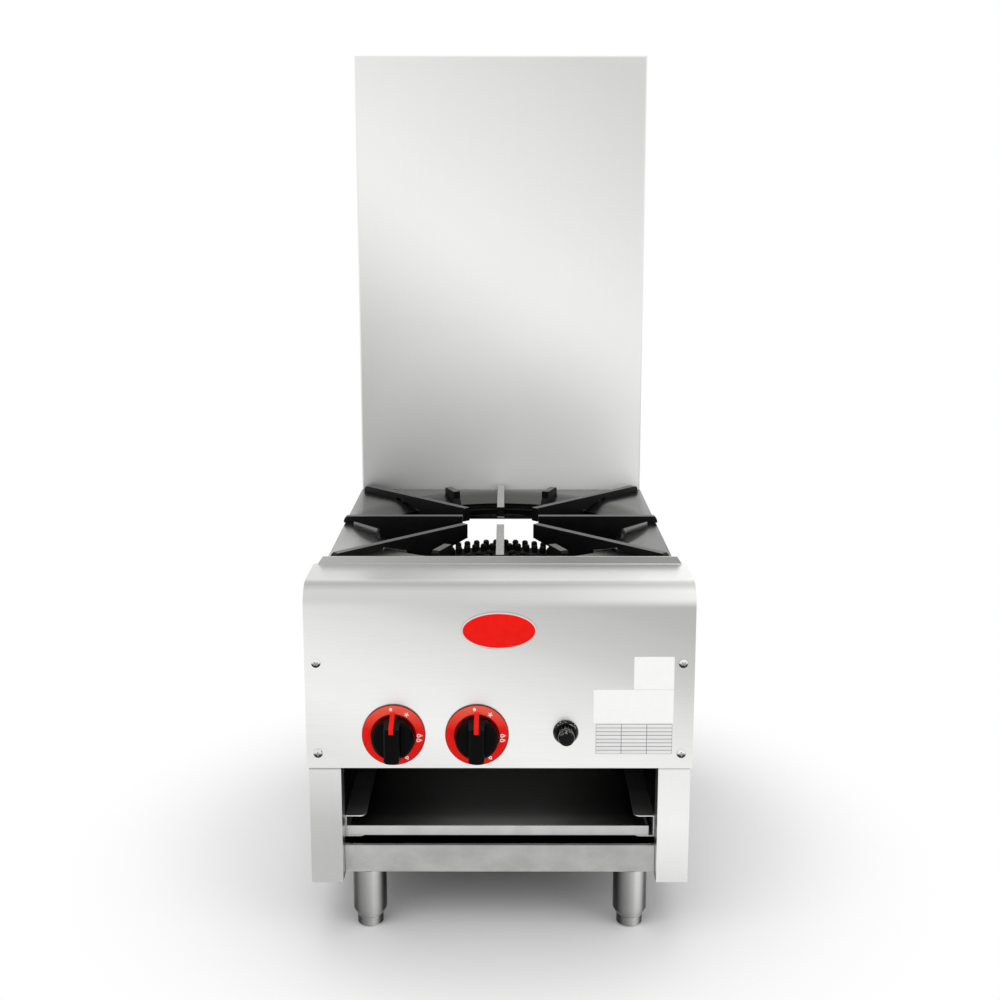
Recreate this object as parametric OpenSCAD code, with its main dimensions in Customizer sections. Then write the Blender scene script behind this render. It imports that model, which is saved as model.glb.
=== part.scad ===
// Single burner gas stove: a sheet steel body on four legs, with a tall splashback,
// a dished spill pan, a cast iron pan support and a two ring burner with its gas train.
// Millimetres, +Z up, the floor at Z = 0, the front faces -Y, and the box is centred in X and Y.

/* [Body] */
// Width of the front panel
body_w = 457; // [430:1:500]
// Depth from the front panel's face to the back panel's outer face
body_d = 552; // [545:1:600]
// Height of the front panel's lower edge
panel_bottom = 219; // [214:1:224]
// Height of the flat ledge on top of the rounded front
nose_top = 443; // [440:1:450]
// Outer bend radius of the rounded front
nose_r = 28; // [12:1:32]
// How far the flat ledge runs back from the front face
nose_ledge = 97; // [94:1:97]
// Height of the upstand behind the ledge
upstand_h = 9.4; // [4:0.2:12]
// Thickness of the panels' sheet steel
sheet = 1.5; // [1:0.1:2]
// How far the side ledges that carry the spill pan lie below the front ledge
ledge_drop = 38; // [33:1:41]
// Lowest edge of the side panels
body_bottom = 72; // [66:1:74]

/* [Bay and tray] */
// Width of the side panels' front flanges
apron_w = 38; // [34:1:42]
// Depth of the return behind each front flange
apron_return = 28; // [20:1:28]
// Height of the front crossbar's top edge
bar_top = 110.5; // [100:0.5:112]
// Height of the underside of the tray rails
rail_bottom = 116; // [114:1:120]
// Height of a tray rail
rail_h = 27; // [22:1:28]
// Width of a rail's flanges
rail_flange = 25; // [15:1:30]
// Height of the drip tray's walls
tray_h = 12.5; // [10:0.5:18]
// Depth of the drip tray
tray_d = 468; // [400:1:470]
// How far the loose tray lies to the left of the middle
tray_shift = 2.5; // [0:0.1:4]

/* [Splashback] */
// How far each side of the splashback stands in from the side of the body
splash_side = 14; // [13.5:0.5:38]
// Height of the splashback's top above the floor
splash_top = 1092; // [700:1:1200]
// Depth of the folded edges of the splashback
splash_fold = 15; // [10:1:15]

/* [Spill pan] */
// How far each side of the spill pan stands in from the side of the body
pan_side = 13.5; // [12.5:0.5:15.5]
// Height of the spill pan's flat rim above the side ledges
pan_rise = 38.7; // [37:0.1:41]
// Radius of the circle where the pan starts to dip
dish_r = 206.2; // [195:0.1:208]
// Radius of the round hole in the middle of the pan
hole_r = 172; // [165:0.5:180]
// How deep the pan dips towards its hole
dish_drop = 11.5; // [6:0.5:16]
// Height of the collar round the hole
collar_h = 15; // [8:0.5:18]

/* [Pan support] */
// Height of the support's arms above the pan's rim
arm_rise = 9.3; // [7:0.1:14]
// Thickness of an arm
arm_t = 10; // [7:0.5:12]
// Distance from the burner's middle to the inner end of a straight arm
arm_tip_r = 52.5; // [40:0.5:70]
// Distance from the burner's middle to the inner end of a corner arm
corner_tip_r = 67.6; // [55:0.5:90]
// Height of the inner end of a straight arm
arm_tip_h = 13.5; // [10:0.5:20]
// Height of the inner end of a corner arm
corner_tip_h = 19; // [12:0.5:24]
// Length of a short stub
stub_l = 38; // [20:1:42]

/* [Burner] */
// How far the tops of the burner's nozzles lie below the spill pan's rim
flame_drop = 56.7; // [49:0.1:68]
// Pitch radius of the outer ring's channel
outer_ring_r = 118; // [110:1:125]
// Pitch radius of the inner ring's channel
inner_ring_r = 56; // [45:1:62]
// Number of nozzles in the outer row of the outer ring
outer_nozzles = 54; // [36:2:60]
// Number of nozzles in the outer row of the inner ring
inner_nozzles = 24; // [16:2:28]
// Diameter of a nozzle
nozzle_d = 8.8; // [6:0.2:9]

/* [Controls] */
// How far left of the middle the left knob sits
left_knob_x = 125; // [115:1:135]
// How far left of the middle the right knob sits
right_knob_x = 26.7; // [20:0.5:32]
// Height of the knobs' axes
knob_z = 261; // [259:0.5:264]
// Diameter of the dial ring round a knob
dial_d = 75; // [66:1:80]
// Diameter of a knob
knob_d = 50; // [40:1:52]
// How far a knob stands out of the front panel
knob_reach = 38.5; // [34:0.5:45]
// How far a knob pushes in before it turns
knob_push = 3; // [2:0.5:3]
// How far right of the middle the igniter sits
igniter_x = 78; // [70:1:100]
// Height of the igniter's axis
igniter_z = 264; // [255:1:300]
// Travel of the igniter button
igniter_push = 6; // [4:0.5:8]

/* [Gas supply] */
// Outside diameter of the gas pipe
pipe_d = 26.9; // [21:0.1:27]
// Diameter of the male thread on the inlet
thread_d = 26.4; // [20:0.1:26.8]
// How far the inlet stands out of the back
inlet_reach = 25; // [15:1:40]
// Height of the gas pipe's axis
pipe_z = 236; // [234:1:238]

/* [Legs] */
// Diameter of a leg
leg_d = 41.3; // [34:0.1:50]
// Distance of each leg's middle from the side of the body
leg_side = 68; // [63.5:0.5:88]
// Distance of the front legs behind the front face
leg_y = 40; // [36:1:50]
// Diameter of a foot
foot_d = 32; // [26:1:36]
// Height of a foot below its leg
foot_h = 12.9; // [10:0.1:20]

/* [Hidden] */
$fn = 64;
eps = 0.01;

// Clearances
seat = 0.3;
run_fit = 0.05;

// Front of the body in the shared frame
front_y = knob_reach - (knob_reach + body_d + inlet_reach) / 2;

// Body, measured back from the front panel's face
side_x = body_w / 2 - sheet - seat - 0.2;
skin_gap = 0.5;
frame_y = sheet + skin_gap;
back_y = body_d - sheet;
apron_in = side_x - apron_w;
return_end = frame_y + apron_return;
ledge_w = side_x - apron_in + 2.5;
ledge_in = side_x - ledge_w;
ledge_z = nose_top - ledge_drop;
ledge_bottom = ledge_z - sheet;
ledge_y = nose_ledge + 1;
side_flange = 20;
panel_return = 14;
upstand_half = body_w / 2 - 5;
upstand_mitre = 6.5;
back_ledge = 47;
rear_liner_gap = 34;
rear_liner_y = body_d - rear_liner_gap;
rear_liner_bottom = 140;
rear_liner_lip = 14;
window_half = 100;
window_low = ledge_z - 75;
window_high = ledge_bottom - 10;
slot_low = window_low - 95;
shield_y = 132;
shield_bottom = panel_bottom + 6;
liner_t = 1.2;
liner_in = apron_in + 0.3;
liner_bottom = rail_bottom - 4;
shield_half = liner_in - seat;

// Legs
leg_x = body_w / 2 - leg_side;

// Crossbars
bar_y = 20;
bar_bottom = 76;
bar_foot = 46;
bar_hem = 6;
bar_half = apron_in - seat;
floor_y = bar_y + bar_foot - 14;

// Rails and tray
rail_t = 1.2;
rail_out = liner_in - seat;
rail_y = 33;
tray_t = 1.2;
tray_y = 32.6;
tray_bottom = rail_bottom + rail_t + seat;
tray_half = rail_out - rail_t - seat - tray_shift;
tray_hem = 4;

// Splashback
splash_t = 1.2;
splash_w = body_w - 2 * splash_side;
splash_y = body_d - 17.7;
splash_bottom = ledge_z;
stay_x = 120;
stay_w = 30;
stay_flange = 12;
stay_top = splash_top - 20;

// Spill pan and burner axis
pan_front = nose_ledge + seat;
pan_back = splash_y - 1.8;
hob_y = (pan_front + pan_back) / 2;
pan_half_y = (pan_back - pan_front) / 2;
pan_t = 1.5;
pan_w = body_w - 2 * pan_side;
pan_z = ledge_z + pan_rise;
dish_z = pan_z - dish_drop;

// Pan support
arm_z = pan_z + arm_rise;
arm_out = pan_half_y - 0.6;
arm_side_out = pan_w / 2 + 2;
corner_out = (pan_w / 2 - 8.5) * sqrt(2);
arm_foot = 8;
arm_round = 7;
arm_lift = 3.5;
web_out = hole_r - 4.8;
web_bottom = dish_z - collar_h - 3;
ring_out = hole_r - 3;
ring_in = ring_out - 9;
ring_top = dish_z - 7;
ring_bottom = dish_z - 14;
stub_out = dish_r + 4.8;

// Burner
flame_z = pan_z - flame_drop;
ring_z = flame_z - 12;
burner_base = flame_z - 37;
boss_z = burner_base - 32;
channel = 20;
nozzle_step = 7;
nozzle_tip = 2;
mixer_r = 20;
mixer_bore = 16;
elbow_r = 36;
boss_r = 22;
mixer_y = 106;
mixer_wall = 3;
mouth_end = 136;
window_y = 112;
window_l = 16;
window_w = 18;
shutter_y = 110;
shutter_l = 21;
shutter_t = 2.5;
right_boss_y = hob_y - sqrt(inner_ring_r * inner_ring_r - right_knob_x * right_knob_x);
bridge_y = 95;
bridge_w = 20;
bridge_h = 24;
bridge_t = 3;
strap_x = 45;
strap_w = 12;

// Controls, measured back from the front panel's face
spindle_r = 4;
spindle_hole_r = 6.5;
spindle_front = -28;
spindle_back = 55;
valve_front = 14;
valve_r = 17;
valve_neck = 44;
tail_r = 11;
valve_end = 90;
injector_r = 6;
cup_r = 8;
cup_front = 20;
cup_back = 40;
guide_r = 7.5;
guide_front = 26;
guide_l = 6;
dial_in = knob_d / 2 + 1;
dial_edge = 3;
dial_top = 5;
dial_web = 1.5;
knob_back = 5;
knob_base = 20;
grip_w = 18;
grip_half = 21.5;
pointer_w = 5.5;
pointer_in = 15;
pointer_out = 31.4;
pointer_low = dial_top + knob_push + 1.5;
pointer_t = 2.5;
button_r = 9.8;
button_reach = 23;
button_back = 26;
bezel_r = 15;
bezel_h = 6;
igniter_hole_r = 11;
igniter_body_r = 12.5;
igniter_back = 62;

// Gas train
pipe_r = pipe_d / 2;
pipe_bore = pipe_r - 2.7;
manifold_y = 62;
manifold_l = 155;
manifold_end = 112;
inlet_side = 68.5;
inlet_x = body_w / 2 - inlet_side;
pipe_hole_r = pipe_r + 0.6;

// Pilot, beside the outer ring's front
pilot_x = 40;
electrode_x = 58;
thermo_x = [8, 22];
pilot_y = hob_y - outer_ring_r - channel - 8;
bracket_z = burner_base - bridge_t - 3;
bracket_t = 3;
bracket_front = pilot_y - 10;
bracket_back = hob_y - bridge_y - bridge_w / 2;
lead_r = 1.5;
tube_r = 2;
lead_bend = 8;
lead_y = 80;
lead_z = 300;

// Screws
screw_x = side_x - 11.7;
screw_z = [237.5, 349];
screw_head_r = 5.5;
screw_head_h = 3;
screw_r = 2;
screw_hole_r = 2.3;
screw_l = 9;
back_screw_z = [110, 240, 370];
back_screw_x = side_x - 10;

// Legs and feet
leg_bottom = foot_h + seat;
leg_shoulder = leg_bottom + 8.2;
stem_r = 6;
stem_top = 55;
stem_bore_top = 60;
leg_stud_r = 5;
leg_stud_top = 92;
leg_nut_r = 9;
leg_nut_h = 8;
rear_leg_y = body_d - leg_y;

// Colours
steel = "gainsboro";
dull_steel = "silver";
iron = "dimgray";
black = "black";
red = "red";
brass = "goldenrod";

// Moves a piece that is measured from the front panel's face to its place
module placed() {
    translate([0, front_y, 0]) children();
}

// A round bar along Y between two distances behind the front face
module rod_y(x, z, r, y0, y1) {
    translate([x, y0, z]) rotate([-90, 0, 0]) cylinder(r = r, h = y1 - y0);
}

// A round bar along X between two distances from the middle
module rod_x(y, z, r, x0, x1) {
    translate([x0, y, z]) rotate([0, 90, 0]) cylinder(r = r, h = x1 - x0);
}

// A plate between two corners
module block(low, high) {
    translate(low) cube(high - low);
}

// Extrudes a (Y, Z) outline along X between two places
module profile_x(x0, x1) {
    translate([x0, 0, 0]) rotate([90, 0, 90]) linear_extrude(height = x1 - x0) children();
}

// Copies a right hand piece to the left
module both_sides() {
    children();
    mirror([1, 0, 0]) children();
}

// Direction from one point of a route to the next
function heading(points, i) = (points[i + 1] - points[i]) / norm(points[i + 1] - points[i]);

// A round pipe along a route of square corners, each rounded to a bend radius; bore 0 is solid
module run(points, r, bore, bend, facets = 24) {
    last = len(points) - 2;
    for (i = [0 : last]) {
        u = heading(points, i);
        start = points[i] + u * (i == 0 ? 0 : bend);
        end = points[i + 1] - u * (i == last ? 0 : bend);
        translate(start) rotate([0, acos(u.z), atan2(u.y, u.x)])
            linear_extrude(height = norm(end - start)) pipe_section(r, bore, facets);
    }
    for (i = [1 : 1 : last]) {
        u = heading(points, i - 1);
        v = heading(points, i);
        w = cross(u, v);
        c = points[i] - bend * u + bend * v;
        multmatrix([[-v.x, u.x, w.x, c.x], [-v.y, u.y, w.y, c.y], [-v.z, u.z, w.z, c.z], [0, 0, 0, 1]])
            rotate_extrude(angle = 90, $fn = 48) translate([bend, 0]) pipe_section(r, bore, facets);
    }
}

// Cross section of a pipe or a solid bar
module pipe_section(r, bore, facets) {
    difference() {
        circle(r = r, $fn = facets);
        if (bore > 0) circle(r = bore, $fn = facets);
    }
}

// The rounded front seen from the side, as a filled outline (Y, Z) set in by some amount
module nose_outline(inset, low, back) {
    translate([inset, low]) square([nose_r - inset + eps, nose_top - nose_r - low]);
    translate([nose_r, low]) square([back - nose_r, nose_top - inset - low]);
    translate([nose_r, nose_top - nose_r]) circle(r = nose_r - inset);
}

// Front panel: one folded sheet with a rounded top, a ledge, an upstand and short returns
module front_panel() {
    color(steel) placed() difference() {
        union() {
            profile_x(-body_w / 2, body_w / 2) difference() {
                nose_outline(0, panel_bottom, nose_ledge);
                nose_outline(sheet, panel_bottom - 1, nose_ledge + 1);
            }
            both_sides() profile_x(body_w / 2 - sheet, body_w / 2) difference() {
                nose_outline(0, panel_bottom, nose_ledge);
                nose_outline(panel_return, panel_bottom - 1, nose_ledge + 1);
            }
            block([seat - apron_in, 0, panel_bottom],
                  [apron_in - seat, panel_return, panel_bottom + sheet]);
            upstand();
        }
        for (x = [-left_knob_x, -right_knob_x])
            rod_y(x, knob_z, spindle_hole_r, -1, panel_return / 2);
        rod_y(igniter_x, igniter_z, igniter_hole_r, -1, panel_return / 2);
        for (x = [-screw_x, screw_x], z = screw_z) rod_y(x, z, screw_hole_r, -1, panel_return / 2);
    }
}

// Upstand behind the ledge, with mitred ends
module upstand() {
    translate([0, nose_ledge, nose_top]) rotate([90, 0, 0]) linear_extrude(height = sheet)
        polygon([[-upstand_half, -sheet], [upstand_half, -sheet], [upstand_half, 0],
                 [upstand_half - upstand_mitre, upstand_h], [upstand_mitre - upstand_half, upstand_h],
                 [-upstand_half, 0]]);
}

// Right hand side panel: web, shoulder under the rounded front, and flanges all round
module side_panel() {
    placed() difference() {
        union() {
            profile_x(side_x - sheet, side_x) {
                translate([frame_y, body_bottom]) square([back_y - seat - frame_y, ledge_z - body_bottom]);
                difference() {
                    nose_outline(frame_y, body_bottom, nose_ledge - sheet - seat);
                    translate([-1, body_bottom - 1]) square([body_d, 1]);
                }
            }
            block([apron_in, frame_y, body_bottom], [side_x, frame_y + sheet, nose_top - nose_r]);
            block([apron_in, frame_y, body_bottom], [apron_in + sheet, return_end, ledge_z - 10]);
            block([ledge_in, ledge_y, ledge_bottom], [side_x, back_y - seat, ledge_z]);
            block([apron_in, frame_y, body_bottom], [side_x, back_y - seat, body_bottom + sheet]);
            block([side_x - side_flange, back_y - seat - sheet, body_bottom],
                  [side_x, back_y - seat, ledge_z]);
        }
        for (z = screw_z) rod_y(screw_x, z, screw_hole_r, 0, frame_y + sheet + 1);
        for (z = back_screw_z) rod_y(back_screw_x, z, screw_hole_r, back_y - 5, body_d);
    }
}
module left_side_panel() { color(steel) mirror([1, 0, 0]) side_panel(); }
module right_side_panel() { color(steel) side_panel(); }

// Back panel with a ledge for the pan and the splashback, an air window, a pipe hole and vent slots
module back_panel() {
    slot_l = 40;
    slot_h = 6;
    color(steel) placed() difference() {
        union() {
            block([-side_x, back_y, body_bottom], [side_x, body_d, ledge_z]);
            block([-ledge_in + seat, body_d - back_ledge, ledge_bottom], [ledge_in - seat, body_d, ledge_z]);
        }
        block([-window_half, back_y - 1, window_low], [window_half, body_d + 1, window_high]);
        rod_y(inlet_x, pipe_z, pipe_hole_r, back_y - 1, body_d + 1);
        for (x = [-2.5 : 1 : 1.5], z = [0 : 3])
            translate([x * 58, back_y, slot_low + 22 * z]) rotate([-90, 0, 0])
                translate([0, 0, -1]) linear_extrude(height = sheet + 2) {
                    square([slot_l - slot_h, slot_h], center = true);
                    for (s = [-1, 1]) translate([s * (slot_l - slot_h) / 2, 0]) circle(d = slot_h);
                }
        for (x = [-back_screw_x, back_screw_x], z = back_screw_z)
            rod_y(x, z, screw_hole_r, back_y - 1, body_d + 1);
    }
}

// Crossbar that ties the side panels and takes the legs; its foot points back from the face
module crossbar() {
    difference() {
        union() {
            block([-bar_half, 0, bar_bottom], [bar_half, sheet, bar_top]);
            block([-bar_half, 0, bar_top - sheet], [bar_half, bar_hem, bar_top]);
            block([-bar_half, 0, bar_bottom], [bar_half, bar_foot, bar_bottom + sheet]);
        }
        for (x = [-leg_x, leg_x])
            translate([x, leg_y - bar_y, bar_bottom - 1]) cylinder(r = leg_stud_r + 0.3, h = sheet + 2);
    }
}
module front_crossbar() {
    color(dull_steel) placed() translate([0, bar_y, 0]) crossbar();
}
module rear_crossbar() {
    color(dull_steel) placed() translate([0, body_d - bar_y, 0]) mirror([0, 1, 0]) crossbar();
}

// Floor of the bay, lying on the two crossbars' feet
module base_plate() {
    color(dull_steel) placed() block([-bar_half, floor_y, bar_bottom + sheet],
                                     [bar_half, body_d - floor_y, bar_bottom + 2 * sheet]);
}

// Inner walls of the burner chamber
module side_liner() {
    placed() {
        block([liner_in, return_end + 1, liner_bottom], [liner_in + liner_t, rear_liner_y, ledge_bottom]);
        block([liner_in, return_end + 1, liner_bottom],
              [liner_in + 12, rear_liner_y, liner_bottom + liner_t]);
    }
}
module left_liner() { color(dull_steel) mirror([1, 0, 0]) side_liner(); }
module right_liner() { color(dull_steel) side_liner(); }
module rear_liner() {
    color(steel) placed() difference() {
        union() {
            block([-liner_in, rear_liner_y, rear_liner_bottom],
                  [liner_in, rear_liner_y + liner_t, ledge_bottom]);
            block([-liner_in, rear_liner_y, rear_liner_bottom],
                  [liner_in, rear_liner_y + rear_liner_lip, rear_liner_bottom + liner_t]);
        }
        block([-window_half, rear_liner_y - 1, window_low],
              [window_half, rear_liner_y + liner_t + 1, ledge_bottom + 1]);
        rod_y(inlet_x, pipe_z, pipe_hole_r, rear_liner_y - 1, rear_liner_y + 3);
    }
}

// Heat shield between the burner chamber and the gas valves
module valve_shield() {
    color(dull_steel) placed() difference() {
        union() {
            block([-shield_half, shield_y, shield_bottom], [shield_half, shield_y + liner_t, ledge_bottom]);
            block([-shield_half, shield_y, ledge_bottom - liner_t],
                  [shield_half, shield_y + 12, ledge_bottom]);
        }
        for (x = [-left_knob_x, -right_knob_x]) rod_y(x, knob_z, mixer_r + 0.5, shield_y - 1, shield_y + 3);
        rod_y(inlet_x, pipe_z, pipe_hole_r, shield_y - 1, shield_y + 3);
        rod_y(pilot_x, lead_z, tube_r + 0.5, shield_y - 1, shield_y + 3);
        for (x = [thermo_x[0], thermo_x[1], electrode_x])
            rod_y(x, lead_z, lead_r + 0.5, shield_y - 1, shield_y + 3);
    }
}

// Channel rail that the tray slides in, with rounded front corners on its flanges
module rail() {
    placed() {
        block([rail_out - rail_t, rail_y, rail_bottom], [rail_out, rear_liner_y, rail_bottom + rail_h]);
        for (z = [rail_bottom, rail_bottom + rail_h - rail_t]) translate([0, 0, z]) {
            block([rail_out - rail_flange, rail_y + 8, 0], [rail_out, rear_liner_y, rail_t]);
            block([rail_out - rail_flange + 8, rail_y, 0], [rail_out, rail_y + 8, rail_t]);
            translate([rail_out - rail_flange + 8, rail_y + 8, 0]) cylinder(r = 8, h = rail_t);
        }
    }
}
module left_rail() { color(dull_steel) mirror([1, 0, 0]) rail(); }
module right_rail() { color(dull_steel) rail(); }

// Drip tray: a shallow pan with a hemmed front
module drip_tray() {
    color(dull_steel) placed() translate([-tray_shift, tray_y, tray_bottom]) {
        difference() {
            block([-tray_half, 0, 0], [tray_half, tray_d, tray_h]);
            block([tray_t - tray_half, tray_t, tray_t], [tray_half - tray_t, tray_d - tray_t, tray_h + 1]);
        }
        block([-tray_half, 0, tray_h - tray_t], [tray_half, tray_hem, tray_h]);
    }
}

// Splashback: one sheet with its four edges folded back
module splashback() {
    color(steel) placed() difference() {
        block([-splash_w / 2, splash_y, splash_bottom], [splash_w / 2, splash_y + splash_fold, splash_top]);
        block([splash_t - splash_w / 2, splash_y + splash_t, splash_bottom + splash_t],
              [splash_w / 2 - splash_t, splash_y + splash_fold + 1, splash_top - splash_t]);
    }
}

// Two channel stays behind the splashback, standing on the back ledge
module splash_stays() {
    depth = splash_fold - 1 - splash_t;
    color(dull_steel) placed() for (x = [-stay_x, stay_x])
        translate([x, splash_y + splash_t, splash_bottom + splash_t]) {
            stay_h = stay_top - splash_bottom - splash_t;
            linear_extrude(height = stay_h) difference() {
                translate([-stay_w / 2, 0]) square([stay_w, depth]);
                translate([splash_t - stay_w / 2, -1]) square([stay_w - 2 * splash_t, depth + 1 - splash_t]);
            }
            both_sides() translate([stay_w / 2 - splash_t, 0, 0])
                cube([stay_flange + splash_t, splash_t, stay_h]);
        }
}

// Spill pan: flat square rim, dished towards a round hole with a collar, and a skirt all round
module hob_pan() {
    color(steel) placed() translate([0, hob_y, 0]) {
        difference() {
            block([-pan_w / 2, -pan_half_y, ledge_z], [pan_w / 2, pan_half_y, pan_z]);
            block([pan_t - pan_w / 2, pan_t - pan_half_y, ledge_z - 1],
                  [pan_w / 2 - pan_t, pan_half_y - pan_t, pan_z - pan_t]);
            translate([0, 0, pan_z - pan_t - 1]) cylinder(r = dish_r, h = pan_t + 2, $fn = 128);
        }
        rotate_extrude($fn = 128) polygon([
            [dish_r + 1, pan_z - pan_t], [dish_r + 1, pan_z], [dish_r, pan_z], [hole_r, dish_z],
            [hole_r, dish_z - collar_h], [hole_r + pan_t, dish_z - collar_h],
            [hole_r + pan_t, dish_z - pan_t], [dish_r, pan_z - pan_t]]);
    }
}

// Side view of an arm (distance from the middle, height), its foot on the pan's rim
module arm_outline(tip_r, tip_h, out, foot_in) {
    difference() {
        union() {
            polygon([[tip_r, arm_z], [out - arm_round, arm_z], [out - arm_round, arm_z - arm_round],
                     [out, arm_z - arm_round], [out, pan_z + seat], [foot_in, pan_z + seat],
                     [foot_in - 1, pan_z + arm_lift], [web_out, dish_z + arm_lift - 1],
                     [web_out, web_bottom + 5], [web_out - 5, web_bottom], [ring_in - 6, web_bottom],
                     [tip_r, arm_z - tip_h]]);
            translate([out - arm_round, arm_z - arm_round]) circle(r = arm_round);
        }
        translate([out - 2 * arm_round - 1, pan_z + seat - 20]) square([2 * arm_round + 2, 20]);
    }
}

// Stands an outline up as an arm that points along an angle
module arm(angle) {
    rotate([0, 0, angle]) translate([0, arm_t / 2, 0]) rotate([90, 0, 0])
        linear_extrude(height = arm_t) children();
}

// Pan support: one iron casting of eight arms, four stubs and a ring
module top_grate() {
    color(iron) placed() translate([0, hob_y, 0]) {
        for (a = [0, 180]) arm(a)
            arm_outline(arm_tip_r, arm_tip_h, arm_side_out, arm_side_out - arm_foot);
        for (a = [90, 270]) arm(a) arm_outline(arm_tip_r, arm_tip_h, arm_out, arm_out - arm_foot);
        for (a = [45 : 90 : 315]) arm(a)
            arm_outline(corner_tip_r, corner_tip_h, corner_out, dish_r + 10);
        for (a = [67.5, 112.5, 247.5, 292.5]) arm(a) stub_outline();
        rotate_extrude($fn = 128) translate([ring_in, ring_bottom])
            square([ring_out - ring_in, ring_top - ring_bottom]);
    }
}

// Side view of a short stub, which follows the pan's slope and steps down to the ring
module stub_outline() {
    inner = stub_out - stub_l;
    polygon([[inner, arm_z], [stub_out - 3, arm_z], [stub_out, arm_z - 3], [stub_out, pan_z + seat],
             [dish_r + seat, pan_z + seat], [hole_r - 0.6, dish_z + seat],
             [hole_r - 0.6, ring_bottom + 2], [ring_out - 4, ring_bottom + 2],
             [ring_out - 4, ring_top + 1], [ring_out, dish_z + 4], [inner, dish_z + 10]]);
}

// A ring of gas nozzles, each with a chamfered top
module nozzle_row(r, count, turn, top) {
    for (i = [0 : count - 1]) rotate([0, 0, 360 * (i + turn) / count]) translate([r, 0, ring_z - 1]) {
        cylinder(d = nozzle_d, h = top - nozzle_tip - ring_z + 1, $fn = 24);
        translate([0, 0, top - nozzle_tip - ring_z + 1])
            cylinder(d1 = nozzle_d, d2 = nozzle_d - 3, h = nozzle_tip, $fn = 24);
    }
}

// A cast ring burner: closed channel with two rows of nozzles on top
module ring_burner(r, count) {
    rotate_extrude($fn = 96) polygon([
        [r - channel + 4, burner_base], [r + channel - 4, burner_base], [r + channel, burner_base + 6],
        [r + channel, ring_z - 7], [r + channel - 7, ring_z], [r - channel + 7, ring_z],
        [r - channel, ring_z - 7], [r - channel, burner_base + 6]]);
    nozzle_row(r + nozzle_step, count, 0, flame_z);
    nozzle_row(r - nozzle_step, count, 0.5, flame_z - 2);
}

// The neck that joins a ring burner to its mixing tube
module burner_neck(x, y) {
    translate([x, y, boss_z]) difference() {
        cylinder(r = boss_r, h = burner_base - boss_z + 8);
        translate([0, 0, -1]) cylinder(r = mixer_bore, h = burner_base - boss_z + 7);
    }
}
module outer_burner() {
    color(iron) placed() difference() {
        union() {
            translate([0, hob_y, 0]) ring_burner(outer_ring_r, outer_nozzles);
            burner_neck(-left_knob_x, hob_y);
        }
        translate([-left_knob_x, hob_y, boss_z - 1]) cylinder(r = mixer_bore, h = burner_base - boss_z + 7);
    }
}
module inner_burner() {
    color(iron) placed() difference() {
        union() {
            translate([0, hob_y, 0]) ring_burner(inner_ring_r, inner_nozzles);
            burner_neck(-right_knob_x, right_boss_y);
        }
        translate([-right_knob_x, right_boss_y, boss_z - 1])
            cylinder(r = mixer_bore, h = burner_base - boss_z + 7);
    }
}

// Two angle bars and a strap that carry both ring burners
module burner_bridge() {
    color(dull_steel) placed() {
        for (s = [-1, 1]) translate([0, hob_y + s * bridge_y, 0]) {
            block([-shield_half, -bridge_w / 2, burner_base - bridge_t],
                  [shield_half, bridge_w / 2, burner_base]);
            block([-shield_half, -bridge_w / 2, burner_base - bridge_h],
                  [shield_half, bridge_t - bridge_w / 2, burner_base]);
        }
        block([strap_x, hob_y - bridge_y, burner_base - bridge_t],
              [strap_x + strap_w, hob_y + bridge_y, burner_base]);
    }
}

// The two windows that let air into a mixing tube, cut through to a reach on both sides
module air_windows(reach) {
    block([-reach, window_y, knob_z - window_w / 2], [reach, window_y + window_l, knob_z + window_w / 2]);
}

// Mixing tube: a mouth with air windows, a straight length, an elbow and a riser to the burner
module mixer(x, boss_y) {
    placed() translate([x, 0, 0]) {
        difference() {
            rod_y(0, knob_z, mixer_r, mixer_y, mouth_end);
            rod_y(0, knob_z, mixer_bore, mixer_y + mixer_wall, mouth_end + 1);
            rod_y(0, knob_z, injector_r + 0.3, mixer_y - 1, mixer_y + mixer_wall + 1);
            air_windows(mixer_r + 1);
        }
        run([[0, mouth_end, knob_z], [0, boss_y, knob_z], [0, boss_y, boss_z]],
            mixer_r, mixer_bore, elbow_r, 64);
    }
}
module left_mixer() { color(iron) mixer(-left_knob_x, hob_y); }
module right_mixer() { color(iron) mixer(-right_knob_x, right_boss_y); }

// Air shutter: a sleeve with two windows and a thumb tab, which turns on the mixing tube
module air_shutter(x) {
    sleeve_r = mixer_r + run_fit;
    placed() translate([x, 0, 0]) difference() {
        union() {
            rod_y(0, knob_z, sleeve_r + shutter_t, shutter_y, shutter_y + shutter_l);
            block([-3, shutter_y, knob_z + sleeve_r], [3, shutter_y + 3, knob_z + sleeve_r + 12]);
        }
        rod_y(0, knob_z, sleeve_r, shutter_y - 1, shutter_y + shutter_l + 1);
        air_windows(mixer_r + 9);
    }
}
module left_air_shutter() { color(dull_steel) air_shutter(-left_knob_x); }
module right_air_shutter() { color(dull_steel) air_shutter(-right_knob_x); }

// Injector: a hexagon on the valve's outlet and a drilled nose inside the mixing tube
module injector(x) {
    placed() difference() {
        union() {
            translate([x, valve_end, knob_z]) rotate([-90, 0, 0]) cylinder(r = 9, h = 8, $fn = 6);
            rod_y(x, knob_z, injector_r, valve_end + 8 - eps, valve_end + 24);
        }
        rod_y(x, knob_z, 0.9, valve_end + 4, valve_end + 25);
    }
}
module left_injector() { color(brass) injector(-left_knob_x); }
module right_injector() { color(brass) injector(-right_knob_x); }

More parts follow.
